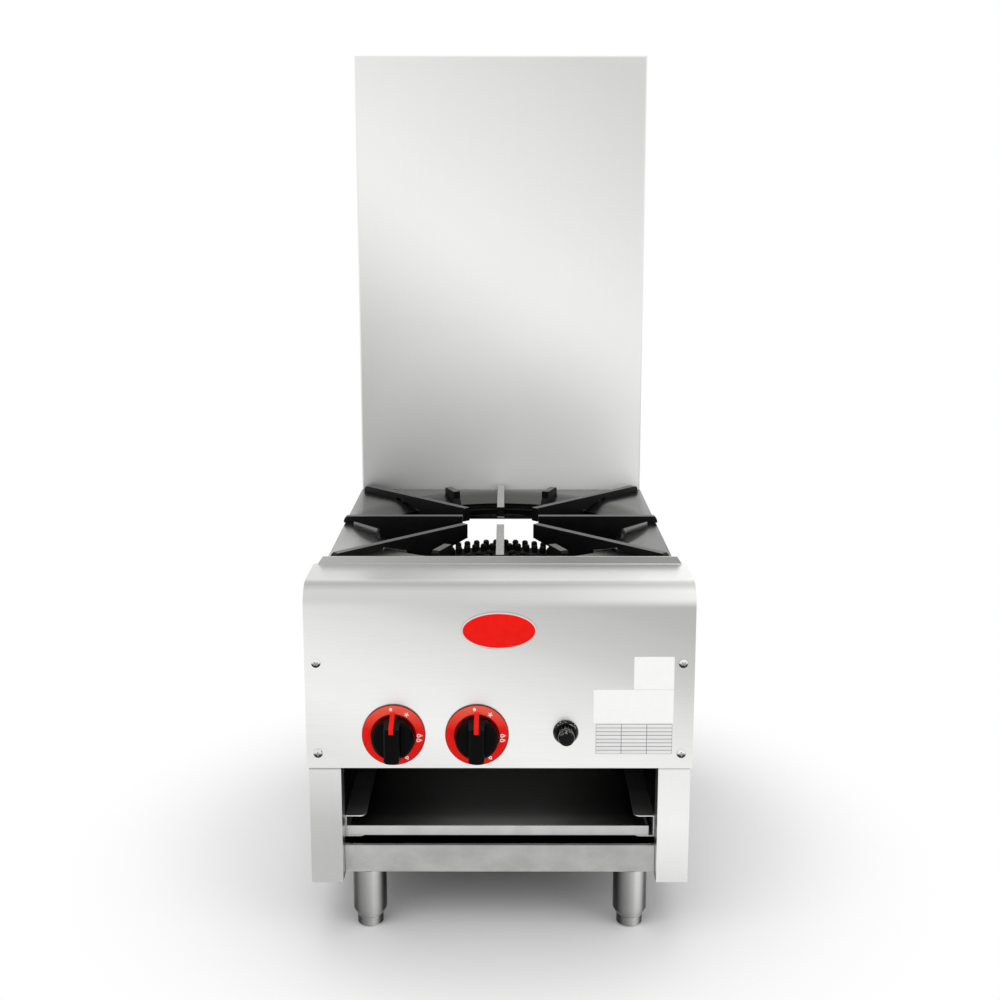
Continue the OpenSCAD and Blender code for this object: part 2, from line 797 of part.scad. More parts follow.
// Manifold pipe across the front, capped at the left and open into the inlet elbow at the right
module gas_manifold() {
    color(dull_steel) placed() difference() {
        union() {
            rod_x(manifold_y, pipe_z, pipe_r, -manifold_l, manifold_end);
            rod_x(manifold_y, pipe_z, pipe_r + 0.7, -manifold_l - 5, 7 - manifold_l);
        }
        rod_x(manifold_y, pipe_z, pipe_bore, 3 - manifold_l, manifold_end + 1);
    }
}

// Inlet: an elbow off the manifold and a straight pipe out of the back, threaded at its end
module inlet_pipe() {
    color(dull_steel) placed() {
        run([[manifold_end, manifold_y, pipe_z], [inlet_x, manifold_y, pipe_z],
             [inlet_x, body_d, pipe_z]], pipe_r, pipe_bore, elbow_r, 64);
        difference() {
            rod_y(inlet_x, pipe_z, thread_d / 2, body_d, body_d + inlet_reach);
            rod_y(inlet_x, pipe_z, pipe_bore, body_d - 1, body_d + inlet_reach + 1);
        }
    }
}

// Gas valve: a body round the spindle, a tail to the injector and a saddle on the manifold
module valve(x) {
    placed() difference() {
        union() {
            rod_y(x, knob_z, valve_r, valve_front, valve_neck);
            rod_y(x, knob_z, tail_r, valve_neck - eps, valve_end);
            translate([x, manifold_y, pipe_z]) cylinder(r = 8.5, h = knob_z - pipe_z);
        }
        rod_x(manifold_y, pipe_z, pipe_r, x - 20, x + 20);
        rod_y(x, knob_z, spindle_r + run_fit, valve_front - 1, spindle_back + knob_push + 2);
        rod_y(x, knob_z, cup_r, cup_front, cup_back);
    }
}
module left_valve() { color(brass) valve(-left_knob_x); }
module right_valve() { color(brass) valve(-right_knob_x); }

// Guide ring: slides in the valve's cup and pushes in with the spindle
module guide_ring(x) {
    placed() difference() {
        rod_y(x, knob_z, guide_r, guide_front, guide_front + guide_l);
        rod_y(x, knob_z, spindle_r + run_fit, guide_front - 1, guide_front + guide_l + 1);
    }
}
module left_guide_ring() { color(steel) guide_ring(-left_knob_x); }
module right_guide_ring() { color(steel) guide_ring(-right_knob_x); }

// Valve spindle from inside the knob to the valve's plug
module spindle(x) {
    placed() rod_y(x, knob_z, spindle_r, spindle_front, spindle_back);
}
module left_spindle() { color(steel) spindle(-left_knob_x); }
module right_spindle() { color(steel) spindle(-right_knob_x); }

// Dial: a thin disc with a sloped ring that stays on the panel while the knob turns inside it
module dial(x) {
    placed() translate([x, 0, knob_z]) rotate([90, 0, 0]) rotate_extrude($fn = 96)
        polygon([[spindle_hole_r, 0], [dial_d / 2, 0], [dial_d / 2, dial_edge - 1],
                 [dial_d / 2 - 1, dial_edge], [dial_in + 1, dial_top], [dial_in, dial_top - 0.8],
                 [dial_in, dial_web], [spindle_hole_r, dial_web]]);
}
module left_dial() { color(red) dial(-left_knob_x); }
module right_dial() { color(red) dial(-right_knob_x); }

// Pointer: a strip that runs over the end of the grip and down towards the dial
module pointer_bar(x) {
    placed() translate([0, 0, knob_z]) profile_x(x - pointer_w / 2, x + pointer_w / 2)
        polygon([[-knob_reach, pointer_in], [-knob_reach, grip_half + 1], [-pointer_low - 3, pointer_out],
                 [-pointer_low, pointer_out], [-pointer_low, pointer_out - 3],
                 [pointer_t - knob_reach, grip_half - 1.5], [pointer_t - knob_reach, pointer_in]]);
}
module left_pointer() { color(red) pointer_bar(-left_knob_x); }
module right_pointer() { color(red) pointer_bar(-right_knob_x); }

// Knob: a round base with a tapered grip bar across it, bored for the spindle
module knob(x) {
    difference() {
        placed() translate([x, 0, knob_z]) rotate([90, 0, 0]) difference() {
            union() {
                translate([0, 0, knob_back]) cylinder(r = knob_d / 2, h = knob_base - knob_back - 3);
                translate([0, 0, knob_base - 3]) cylinder(r1 = knob_d / 2, r2 = knob_d / 2 - 3, h = 3);
                grip_bar();
            }
            translate([0, 0, knob_back - 1]) cylinder(r = spindle_r, h = 1 - spindle_front - knob_back);
        }
        pointer_bar(x);
    }
}

// Grip bar of a knob, standing on its base along the axis
module grip_bar() {
    half = grip_w / 2;
    flare = 2;
    low = knob_base - 4;
    intersection() {
        translate([0, grip_half + 5, 0]) rotate([90, 0, 0]) linear_extrude(height = 2 * grip_half + 10)
            polygon([[-half - flare, low], [half + flare, low], [half, knob_base + 6],
                     [half, knob_reach - 2], [half - 2, knob_reach], [2 - half, knob_reach],
                     [-half, knob_reach - 2], [-half, knob_base + 6]]);
        translate([0, 0, low]) cylinder(r1 = knob_d / 2, r2 = grip_half, h = knob_reach - low);
    }
}
module left_knob() { color(black) knob(-left_knob_x); }
module right_knob() { color(black) knob(-right_knob_x); }

// Igniter: a bezel on the panel, a body behind it and a domed button that slides through both
module igniter_bezel() {
    color(black) placed() translate([igniter_x, 0, igniter_z]) rotate([90, 0, 0]) rotate_extrude()
        polygon([[button_r + run_fit, 0], [bezel_r, 0], [bezel_r, 1.5], [bezel_r - 2.5, bezel_h],
                 [button_r + run_fit, bezel_h]]);
}
module igniter_body() {
    color(black) placed() difference() {
        union() {
            rod_y(igniter_x, igniter_z, igniter_body_r + 3.5, sheet, sheet + 6);
            rod_y(igniter_x, igniter_z, igniter_body_r, sheet + 5, igniter_back);
        }
        rod_y(igniter_x, igniter_z, button_r + run_fit, sheet - 1, button_back + igniter_push + 2);
    }
}
module igniter_button() {
    dome = 5;
    l = button_back + button_reach;
    color(black) placed() translate([igniter_x, button_back, igniter_z]) rotate([90, 0, 0]) rotate_extrude()
        polygon([[0, 0], [button_r, 0], [button_r, l - dome], [button_r - 0.7, l - dome / 2],
                 [button_r - 2.3, l - 0.9], [button_r - dome, l], [0, l]]);
}

// Pilot burner: a threaded stem and a hooded nose beside the outer ring
module pilot_burner() {
    color(brass) placed() translate([pilot_x, pilot_y, 0]) {
        translate([0, 0, bracket_z - 12]) cylinder(r = 4, h = 12 + bracket_t);
        translate([0, 0, bracket_z + bracket_t]) cylinder(r = 6, h = 8, $fn = 6);
        translate([0, 0, bracket_z + bracket_t + 8]) cylinder(r = 4, h = 20);
        translate([0, 0, bracket_z + bracket_t + 28]) difference() {
            cylinder(r = 5.5, h = 9);
            translate([0, 0, 2]) cylinder(r = 4, h = 8);
            block([-2.5, 0, 3], [2.5, 8, 10]);
        }
    }
}

// Bracket on the burner bridge's front face that holds the pilot, the electrode and the probes
module pilot_bracket() {
    color(dull_steel) placed() difference() {
        union() {
            block([0, bracket_front, bracket_z], [68, bracket_back, bracket_z + bracket_t]);
            block([0, bracket_back - bracket_t, bracket_z - 14], [68, bracket_back, bracket_z + 1]);
        }
        translate([pilot_x, pilot_y, bracket_z - 1]) cylinder(r = 4, h = bracket_t + 2);
        translate([electrode_x, pilot_y, bracket_z - 1]) cylinder(r = 4.5, h = bracket_t + 2);
        for (x = thermo_x) translate([x, pilot_y, bracket_z - 1]) cylinder(r = 3, h = bracket_t + 2);
    }
}

// Spark electrode: a ceramic sleeve with a wire bent towards the pilot
module spark_electrode() {
    top = bracket_z + bracket_t + 26;
    color("white") placed() {
        translate([electrode_x, pilot_y, bracket_z - 10]) cylinder(r = 4.5, h = top - bracket_z + 10);
        translate([electrode_x, pilot_y, top - eps]) cylinder(r = 1.2, h = 14);
        translate([electrode_x, pilot_y, top + 13]) rotate([0, -90, 0]) cylinder(r = 1.2, h = 9);
    }
}

// Two flame probes with their leads to the valves
module thermocouples() {
    valve_x = [-left_knob_x, -right_knob_x];
    color("peru") placed() for (i = [0, 1]) {
        x = thermo_x[i];
        y = lead_y - 8 * i;
        translate([x, pilot_y, bracket_z - 8]) cylinder(r = 3, h = 44);
        difference() {
            run([[x, pilot_y, bracket_z - 8], [x, pilot_y, lead_z], [x, y, lead_z],
                 [valve_x[i], y, lead_z], [valve_x[i], y, knob_z]], lead_r, 0, lead_bend);
            rod_y(valve_x[i], knob_z, tail_r, 50, valve_end);
        }
    }
}

// Pilot gas tube from the manifold to the pilot burner
module pilot_tube() {
    color("silver") placed() difference() {
        run([[pilot_x, pilot_y, bracket_z - 12], [pilot_x, pilot_y, lead_z], [pilot_x, manifold_y, lead_z],
             [pilot_x, manifold_y, pipe_z]], tube_r, 0, lead_bend);
        rod_x(manifold_y, pipe_z, pipe_r, pilot_x - 20, pilot_x + 20);
    }
}

// High voltage lead from the igniter to the spark electrode
module ignition_lead() {
    color("red") placed() run([[electrode_x, pilot_y, bracket_z - 10], [electrode_x, pilot_y, lead_z],
        [electrode_x, 90, lead_z], [igniter_x, 90, lead_z], [igniter_x, 90, igniter_z],
        [igniter_x, igniter_back, igniter_z]], lead_r, 0, lead_bend);
}

// Pan head screws: four through the front panel and six through the back panel
module screw() {
    translate([0, 0, -screw_l]) cylinder(r = screw_r, h = screw_l, $fn = 24);
    cylinder(r = screw_head_r, h = 1, $fn = 32);
    translate([0, 0, 1 - eps])
        cylinder(r1 = screw_head_r, r2 = screw_head_r - 2.2, h = screw_head_h - 1, $fn = 32);
}
module panel_screws() {
    color(dull_steel) placed() {
        for (x = [-screw_x, screw_x], z = screw_z) translate([x, 0, z]) rotate([90, 0, 0]) screw();
        for (x = [-back_screw_x, back_screw_x], z = back_screw_z)
            translate([x, body_d, z]) rotate([-90, 0, 0]) screw();
    }
}

// Leg: a round tube with a tapered end, a bore for the foot and a stud and nut at the top
module leg(x, y) {
    color(steel) placed() translate([x, y, 0]) {
        difference() {
            union() {
                translate([0, 0, leg_shoulder]) cylinder(r = leg_d / 2, h = bar_bottom - leg_shoulder);
                translate([0, 0, leg_bottom])
                    cylinder(r1 = foot_d / 2 + 0.6, r2 = leg_d / 2, h = leg_shoulder - leg_bottom);
            }
            translate([0, 0, leg_bottom - 1])
                cylinder(r = stem_r + run_fit, h = stem_bore_top - leg_bottom + 1);
        }
        translate([0, 0, bar_bottom - eps]) cylinder(r = leg_stud_r, h = leg_stud_top - bar_bottom);
        translate([0, 0, bar_bottom + sheet]) cylinder(r = leg_nut_r, h = leg_nut_h, $fn = 6);
    }
}
module front_left_leg() { leg(-leg_x, leg_y); }
module front_right_leg() { leg(leg_x, leg_y); }
module rear_left_leg() { leg(-leg_x, rear_leg_y); }
module rear_right_leg() { leg(leg_x, rear_leg_y); }

// Foot: a round pad with a stem that screws up into the leg
module foot(x, y) {
    color(dull_steel) placed() translate([x, y, 0]) rotate_extrude()
        polygon([[0, 0], [foot_d / 2 - 2, 0], [foot_d / 2, 2], [foot_d / 2, foot_h - 1],
                 [foot_d / 2 - 1, foot_h], [stem_r, foot_h], [stem_r, stem_top], [0, stem_top]]);
}
module front_left_foot() { foot(-leg_x, leg_y); }
module front_right_foot() { foot(leg_x, leg_y); }
module rear_left_foot() { foot(-leg_x, rear_leg_y); }
module rear_right_foot() { foot(leg_x, rear_leg_y); }

front_panel();
left_side_panel();
right_side_panel();
back_panel();
front_crossbar();
rear_crossbar();
base_plate();
left_liner();
right_liner();
rear_liner();
valve_shield();
left_rail();
right_rail();
drip_tray();
hob_pan();
splashback();
splash_stays();
top_grate();
outer_burner();
inner_burner();
burner_bridge();
left_mixer();
right_mixer();
left_air_shutter();
right_air_shutter();
left_injector();
right_injector();
gas_manifold();
inlet_pipe();
left_valve();
right_valve();
left_guide_ring();
right_guide_ring();
left_spindle();
right_spindle();
left_dial();
right_dial();
left_knob();
right_knob();
left_pointer();
right_pointer();
igniter_bezel();
igniter_body();
igniter_button();
pilot_burner();
pilot_bracket();
spark_electrode();
thermocouples();
pilot_tube();
ignition_lead();
panel_screws();
front_left_leg();
front_right_leg();
rear_left_leg();
rear_right_leg();
front_left_foot();
front_right_foot();
rear_left_foot();
rear_right_foot();
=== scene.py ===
# %% [markdown]
# # A single burner gas stove
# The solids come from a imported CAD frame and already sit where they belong.
# This script gives every surface its finish, and adds what is too fine for the solids:
# the badge, the blank plates, the marks on the dials, the crosses in the screws and the
# thread on the gas inlet. All lengths are in metres, so sizes in millimetres are multiplied by MM.

# %% Load the frame
import math

import bmesh
import bpy
from mathutils import Matrix, Vector


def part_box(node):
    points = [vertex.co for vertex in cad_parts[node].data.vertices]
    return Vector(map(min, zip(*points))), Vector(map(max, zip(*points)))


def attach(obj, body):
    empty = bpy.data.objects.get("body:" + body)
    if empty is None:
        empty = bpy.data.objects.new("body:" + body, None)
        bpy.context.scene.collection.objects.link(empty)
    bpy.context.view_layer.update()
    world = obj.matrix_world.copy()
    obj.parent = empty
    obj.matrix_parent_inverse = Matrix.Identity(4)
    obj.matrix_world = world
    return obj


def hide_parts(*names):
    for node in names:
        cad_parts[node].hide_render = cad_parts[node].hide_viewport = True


MM = 0.001
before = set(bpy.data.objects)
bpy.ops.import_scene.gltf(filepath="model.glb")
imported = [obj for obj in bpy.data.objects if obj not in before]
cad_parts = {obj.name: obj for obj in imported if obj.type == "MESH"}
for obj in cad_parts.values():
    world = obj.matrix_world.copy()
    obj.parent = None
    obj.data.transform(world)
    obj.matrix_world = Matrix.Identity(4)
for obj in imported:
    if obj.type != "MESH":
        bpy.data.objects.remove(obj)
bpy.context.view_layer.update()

# %% [markdown]
# ## Where things are
# Each place is read from the frame, so a new CAD size moves the dressing with it.

# %% Places read from the frame
front_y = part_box("front_panel")[0].y
back_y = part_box("back_panel")[1].y
side_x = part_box("right_side_panel")[1].x
dial_centres = [(sum(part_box(side + "_dial"), Vector()) / 2) for side in ("left", "right")]
print("front face at y", round(front_y / MM, 1), "mm")

# %% [markdown]
# ## The camera
# The photograph was taken from about one and a half metres in front, some 20 cm below the
# splashback's top. A normal lens, tilted down by ten degrees, gives the same view of the hob's
# top. The lens and the place were fitted to the stove's corners in the photograph.

# %% The camera
LENS_MM = 47.96
CAMERA_X, CAMERA_BACK, CAMERA_Z = 6.8, 1487.6, 871.3
PITCH, YAW = 10.25, 0.09
SHIFT_X, SHIFT_Y = -0.0034, -0.05


def make_camera():
    """Puts the camera in front of the stove, looking down at it."""
    data = bpy.data.cameras.new("camera")
    data.lens = LENS_MM
    data.sensor_width = 36
    data.shift_x, data.shift_y = SHIFT_X, SHIFT_Y
    data.clip_start, data.clip_end = 0.05, 50
    camera = bpy.data.objects.new("camera", data)
    bpy.context.scene.collection.objects.link(camera)
    camera.location = (CAMERA_X * MM, front_y - CAMERA_BACK * MM, CAMERA_Z * MM)
    camera.rotation_euler = (math.radians(90 - PITCH), 0, math.radians(YAW))
    bpy.context.scene.camera = camera
    return camera


camera = make_camera()
print("camera at", [round(part, 3) for part in camera.location], "m, lens", LENS_MM, "mm")

# %% [markdown]
# ## Helpers for materials
# A colour is written as the hex code that a paint or print sample would have, and one
# function turns it to the linear numbers that the renderer works in. Patterns are noise on
# Object coordinates, so that their grains keep a real size in millimetres on every piece.

# %% Colour and node helpers


def colour(code):
    """A hex colour such as "#C8C8C6" as linear red, green, blue and alpha."""
    parts = [int(code[i:i + 2], 16) / 255 for i in (1, 3, 5)]
    linear = [p / 12.92 if p <= 0.04045 else ((p + 0.055) / 1.055) ** 2.4 for p in parts]
    return (*linear, 1)


def add_node(tree, kind, inputs=None, **settings):
    """Adds a shader node; inputs maps a socket's name or number to a value or to another socket."""
    made = tree.nodes.new("ShaderNode" + kind)
    for name, value in settings.items():
        setattr(made, name, value)
    for name, value in (inputs or {}).items():
        if isinstance(value, bpy.types.NodeSocket):
            tree.links.new(value, made.inputs[name])
        else:
            made.inputs[name].default_value = value
    return made


def new_material(name, **shader_inputs):
    """A material with its tree and shader; underscores in the names stand for spaces."""
    material = bpy.data.materials.new(name)
    material.use_nodes = True
    shader = material.node_tree.nodes["Principled BSDF"]
    for key, value in shader_inputs.items():
        shader.inputs[key.replace("_", " ")].default_value = value
    return material, material.node_tree, shader


def stretched_noise(tree, size_mm, detail=3.0):
    """Noise on Object coordinates whose grains measure size_mm along X, Y and Z."""
    coords = add_node(tree, "TexCoord")
    scale = [1 / (s * MM) for s in size_mm]
    mapping = add_node(tree, "Mapping", {"Vector": coords.outputs["Object"], "Scale": scale})
    noise = add_node(tree, "TexNoise", {"Vector": mapping.outputs[0], "Scale": 1.0, "Detail": detail})
    return noise.outputs["Fac"]


def spread(tree, value, low, high, start=0.3, end=0.7):
    """Maps a noise's middle range onto low to high, softly at both ends."""
    return add_node(tree, "MapRange", {"Value": value, "From Min": start, "From Max": end,
                                       "To Min": low, "To Max": high},
                    interpolation_type="SMOOTHSTEP").outputs[0]


def layer(tree, share, under, over):
    """Lays one tone over another; share runs from 0 for none of it to 1 for all of it."""
    return add_node(tree, "Mix", {0: share, 6: under, 7: over}, data_type="RGBA").outputs[2]


def shaded(tree, tone, shade):
    """A tone darkened by a shade, where a shade of 1 leaves it as it is."""
    return add_node(tree, "Mix", {0: 1.0, 6: tone, 7: shade},
                    data_type="RGBA", blend_type="MULTIPLY").outputs[2]


def paint(tree, shader, tone):
    """Gives the shader a base tone, in place of the one it had."""
    tree.links.new(tone, shader.inputs["Base Color"])


def reopen(material):
    """The tree, the shader and the base tone of a finished material, for one more layer."""
    tree = material.node_tree
    shader = tree.nodes["Principled BSDF"]
    return tree, shader, shader.inputs["Base Color"].links[0].from_socket


def relief(tree, shader, height, depth_mm, strength=1.0):
    """Adds a bump of a real depth to the shader."""
    bump = add_node(tree, "Bump", {"Height": height, "Strength": strength, "Distance": depth_mm * MM})
    tree.links.new(bump.outputs[0], shader.inputs["Normal"])


# %% [markdown]
# ## Tones that drift
# A large bright sheet never looks the same all over: it is a little bowed, and it mirrors the
# room. That light and reflection are painted here: one dot product gives how far a point lies
# along a direction, and a colour ramp over that distance sets the tone. The stops are written as
# (millimetres, grey level). A ramp over the way that a face looks has (how far it looks along an
# axis, grey level) instead.

# %% Drifting tones


def grey(level):
    """A grey from an 8 bit level, one step warmer than neutral, as steel looks."""
    step = round(level)
    return colour(f"#{step:02X}{step:02X}{max(step - 1, 0):02X}")


def ramp(tree, value, stops):
    """A colour ramp over a value, from stops of (place, grey level)."""
    first, last = stops[0][0], stops[-1][0]
    share = add_node(tree, "MapRange", {"Value": value, "From Min": first, "From Max": last})
    node = add_node(tree, "ValToRGB", {"Fac": share.outputs[0]})
    points = node.color_ramp.elements
    for place, _ in stops[1:-1]:
        points.new((place - first) / (last - first))
    for point, (_, level) in zip(points, stops):
        point.color = grey(level)
    return node.outputs["Color"]


def along(tree, direction):
    """How many millimetres a point lies along a direction."""
    coords = add_node(tree, "TexCoord")
    scaled = [part / MM for part in direction]
    return add_node(tree, "VectorMath", {0: coords.outputs["Object"], 1: scaled},
                    operation="DOT_PRODUCT").outputs["Value"]


def look(tree, axis):
    """How far a face looks along an axis, from -1 for straight back to 1 for straight along."""
    turned = add_node(tree, "NewGeometry")
    return add_node(tree, "SeparateXYZ", {0: turned.outputs["Normal"]}).outputs[axis]


def facing(tree, axis, start, end):
    """The share of faces that look along an axis: 0 at start, 1 at end and soft between them."""
    return add_node(tree, "MapRange", {"Value": look(tree, axis), "From Min": start,
                                       "From Max": end}).outputs[0]


# %% [markdown]
# ## Brushed stainless sheet
# The body is ferritic stainless sheet with a brushed finish: an abrasive belt has drawn
# fine scratches along one direction. The scratches are about a tenth of a millimetre apart,
# too fine to see from here, so they are drawn 0.9 mm wide and 90 mm long. Metal has no colour
# below its reflection, so the tone goes into the base colour of a fully metallic shader.

# %% Brushed stainless
SCRATCH_MM = 0.9
SCRATCH_LENGTH_MM = 90.0
SCRATCH_DEPTH_MM = 0.006
CLOUD_MM = 140


def brushed_stainless(name, direction, stops, grain, roughness=0.31, scratch=0.03):
    """Brushed sheet whose tone drifts along a direction; grain is the axis of the scratches."""
    material, tree, shader = new_material(name, Metallic=1.0, Roughness=roughness)
    size = [SCRATCH_MM] * 3
    size["XYZ".index(grain)] = SCRATCH_LENGTH_MM
    scratches = stretched_noise(tree, size)
    cloud = stretched_noise(tree, (CLOUD_MM,) * 3, 0.0)
    tone = ramp(tree, along(tree, direction), stops)
    streak = spread(tree, scratches, 1 - scratch, 1)
    lit = shaded(tree, tone, streak)
    paint(tree, shader, lit)
    tree.links.new(spread(tree, cloud, roughness - 0.02, roughness + 0.03, 0, 1),
                   shader.inputs["Roughness"])
    relief(tree, shader, scratches, SCRATCH_DEPTH_MM, 0.2)
    return material, tree, shader, lit


# %% [markdown]
# ## The front panel
# The front panel is one sheet with a rolled top. Its flat ledge lies open to the light, so faces
# that look up are paler. The roll catches light low down, and painted shade darkens a band of it
# just below the ledge.
# The upright strip behind the ledge mirrors the hob and is darker. A mirror of the real room
# would need the room, so each part of the sheet gets a ramp of its own, chosen by height or by
# the way that it looks.

# %% The front panel
FRONT_DIRECTION = (0.32, 0.0, 1.0)
FRONT_STOPS = [(175, 233), (240, 245), (288, 241), (327, 232), (360, 223), (388, 210), (414, 202),
               (440, 196), (457, 190), (500, 184)]
LEDGE_STOPS = [(-228, 222), (-120, 226), (0, 244), (228, 250)]
LEDGE_LOOK = (0.9, 0.99)
BEND_STOPS = [(-228, 211), (-60, 206), (60, 214), (228, 242)]
BEND_FROM, BEND_TO = 415, 427
ROLL_SHADE_STOPS = [(0.0, 255), (0.7, 255), (0.9, 222), (0.96, 226), (1.0, 255)]
STRIP_STOPS = [(-228, 200), (-60, 172), (80, 150), (228, 158)]
STRIP_FROM, STRIP_TO = 443.3, 443.8


def front_sheet():
    """The rolled front panel."""
    material, tree, shader, face = brushed_stainless("brushed_stainless_front", FRONT_DIRECTION,
                                                     FRONT_STOPS, "X")
    across = along(tree, (1, 0, 0))
    height = along(tree, (0, 0, 1))
    face = layer(tree, spread(tree, height, 0, 1, BEND_FROM, BEND_TO), face,
                 ramp(tree, across, BEND_STOPS))
    face = layer(tree, spread(tree, height, 0, 1, STRIP_FROM, STRIP_TO), face,
                 ramp(tree, across, STRIP_STOPS))
    face = layer(tree, facing(tree, "Z", *LEDGE_LOOK), face, ramp(tree, across, LEDGE_STOPS))
    # A band of painted shade on the roll just below the ledge
    painted_roll_shade = ramp(tree, facing(tree, "Z", 0, 1), ROLL_SHADE_STOPS)
    paint(tree, shader, shaded(tree, face, painted_roll_shade))
    return material


# %% [markdown]
# ## The splashback
# The splashback is a tall folded sheet, brushed upwards. Its tone drifts slowly along a slanted
# line, as a painted reflection. Its foot is rougher and duller, and paler, most of all on the
# right: the paler tone is painted light. The folds at its sides and top catch a thin line of
# painted light.

# %% The splashback
SPLASH_DIRECTION = (0.585, 0.0, 0.811)
SPLASH_STOPS = [(279, 168), (320, 177), (370, 189), (417, 202), (465, 215), (513, 227), (561, 237),
                (608, 243), (637, 244), (685, 242), (732, 238), (780, 234), (876, 225), (971, 216)]
FOOT_LOW, FOOT_HIGH, FOOT_GREY, FOOT_ROUGH = 480, 700, 254, 0.3
FOOT_LEFT, FOOT_RIGHT, FOOT_LEAST = -215, 20, 0.3
FOLD_MM, FOLD_GREY = 2.4, 238


def splash_sheet():
    """The splashback, rougher at its foot, with painted light on its foot and its folded edges."""
    material, tree, shader, face = brushed_stainless("brushed_stainless_splashback", SPLASH_DIRECTION,
                                                     SPLASH_STOPS, "Z", 0.36, 0.012)
    foot = add_node(tree, "MapRange", {"Value": along(tree, (0, 0, 1)), "From Min": FOOT_LOW,
                                       "From Max": FOOT_HIGH, "To Min": 1, "To Max": 0})
    right = add_node(tree, "MapRange", {"Value": along(tree, (1, 0, 0)), "From Min": FOOT_LEFT,
                                        "From Max": FOOT_RIGHT, "To Min": FOOT_LEAST, "To Max": 1})
    share = add_node(tree, "Math", {0: foot.outputs[0], 1: right.outputs[0]}, operation="MULTIPLY")
    # Painted light: the foot is paler, most of all on the right
    lit_foot = layer(tree, share.outputs[0], face, grey(FOOT_GREY))
    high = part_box("splashback")[1] / MM
    beside = add_node(tree, "Math", {0: along(tree, (1, 0, 0))}, operation="ABSOLUTE")
    beside = add_node(tree, "Math", {0: beside.outputs[0], 1: high.x}, operation="SUBTRACT")
    below = add_node(tree, "Math", {0: along(tree, (0, 0, 1)), 1: high.z}, operation="SUBTRACT")
    inset = add_node(tree, "Math", {0: beside.outputs[0], 1: below.outputs[0]}, operation="MAXIMUM")
    fold = add_node(tree, "MapRange", {"Value": inset.outputs[0], "From Min": -FOLD_MM,
                                       "From Max": -FOLD_MM / 2})
    # A painted line of light along the folds
    paint(tree, shader, layer(tree, fold.outputs[0], lit_foot, grey(FOLD_GREY)))
    plain = shader.inputs["Roughness"].links[0].from_socket
    dull = add_node(tree, "Math", {0: share.outputs[0], 1: FOOT_ROUGH, 2: plain}, operation="MULTIPLY_ADD")
    tree.links.new(dull.outputs[0], shader.inputs["Roughness"])
    return material


# %% [markdown]
# ## The spill pan
# The spill pan is stainless too, darker because it mirrors the cast iron above it. It is palest
# at the front left, where nothing shades it. Inside the dish's flat rim, in a circle round the
# burner, the tone is a quarter darker.

# %% The spill pan
PAN_DIRECTION = (-1.2, -1.0, 0.0)
PAN_STOPS = [(-430, 115), (-240, 104), (-70, 100), (50, 112), (240, 146), (410, 176)]
DISH_OUT, DISH_IN, DISH_TINT = 213.0, 203.0, 0.75


def pan_sheet():
    """The spill pan, a quarter darker in a circle round its hole."""
    material, tree, shader, face = brushed_stainless("brushed_stainless_pan", PAN_DIRECTION,
                                                     PAN_STOPS, "X", 0.24)
    middle = sum(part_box("outer_burner"), Vector()) / 2
    coords = add_node(tree, "TexCoord")
    flat = add_node(tree, "VectorMath", {0: coords.outputs["Object"], 1: (1 / MM, 1 / MM, 0)},
                    operation="MULTIPLY")
    apart = add_node(tree, "VectorMath", {0: flat.outputs[0], 1: (middle.x / MM, middle.y / MM, 0)},
                     operation="DISTANCE")
    tint = add_node(tree, "MapRange", {"Value": apart.outputs["Value"], "From Min": DISH_IN,
                                       "From Max": DISH_OUT, "To Min": DISH_TINT, "To Max": 1.0},
                    interpolation_type="SMOOTHSTEP")
    paint(tree, shader, shaded(tree, face, tint.outputs[0]))
    return material


# %% [markdown]
# ## The side and back panels
# The side panels are folded too. Their narrow front faces catch the light below the front
# panel, and lie in its shade beside it. The tall outer sides stand edge-on to the light and
# look greyer, with a slow drift of their own. The back panel is the same sheet.

# %% The side and back panels
LEFT_STOPS = [(72, 195), (110, 193), (150, 197), (185, 212), (216, 223), (217, 150), (405, 150)]
RIGHT_STOPS = [(72, 231), (110, 239), (150, 245), (216, 239), (217, 190), (405, 190)]
BACK_STOPS = [(72, 195), (110, 193), (150, 197), (185, 212), (219, 223), (405, 225)]
SIDE_DIRECTION = (0.0, 1.0, 0.5)
SIDE_STOPS = [(-230, 226), (-40, 206), (130, 196), (300, 214), (480, 204)]
ASIDE_LOOK = (0.6, 0.95)


def side_sheet(name, stops):
    """A side panel whose outer side is greyer than its front face."""
    material, tree, shader, face = brushed_stainless(name, (0, 0, 1), stops, "Z")
    aside = add_node(tree, "Math", {0: look(tree, "X")}, operation="ABSOLUTE")
    share = add_node(tree, "MapRange", {"Value": aside.outputs[0], "From Min": ASIDE_LOOK[0],
                                        "From Max": ASIDE_LOOK[1]})
    outside = ramp(tree, along(tree, SIDE_DIRECTION), SIDE_STOPS)
    paint(tree, shader, layer(tree, share.outputs[0], face, outside))
    return material


# %% [markdown]
# ## Turned legs
# The legs are stainless tube, polished on a lathe. Such a tube mirrors its surroundings in pale
# and dark bands along its length, and has fine rings round it from the polishing cloth. The bands
# are a painted reflection, tied to the way that the wall faces, so they stay on the leg. The rings
# are drawn 0.9 mm high, coarser than real ones.

# %% Turned stainless
BAND_STOPS = [(-1.0, 36), (-0.78, 66), (-0.5, 134), (-0.2, 160), (0.1, 192), (0.3, 222),
              (0.5, 218), (0.65, 180), (0.8, 96), (0.92, 40), (1.0, 16)]
RING_MM, RING_ROUND_MM = 0.9, 60.0


def turned_stainless():
    """Polished tube with a painted reflection in bands along its length."""
    material, tree, shader = new_material("turned_stainless", Metallic=1.0, Roughness=0.22)
    # Painted reflection: pale and dark bands by the way that the wall faces
    bands = ramp(tree, look(tree, "X"), BAND_STOPS)
    rings = stretched_noise(tree, (RING_ROUND_MM, RING_ROUND_MM, RING_MM))
    paint(tree, shader, shaded(tree, bands, spread(tree, rings, 0.93, 1)))
    tree.links.new(spread(tree, rings, 0.18, 0.26), shader.inputs["Roughness"])
    return material


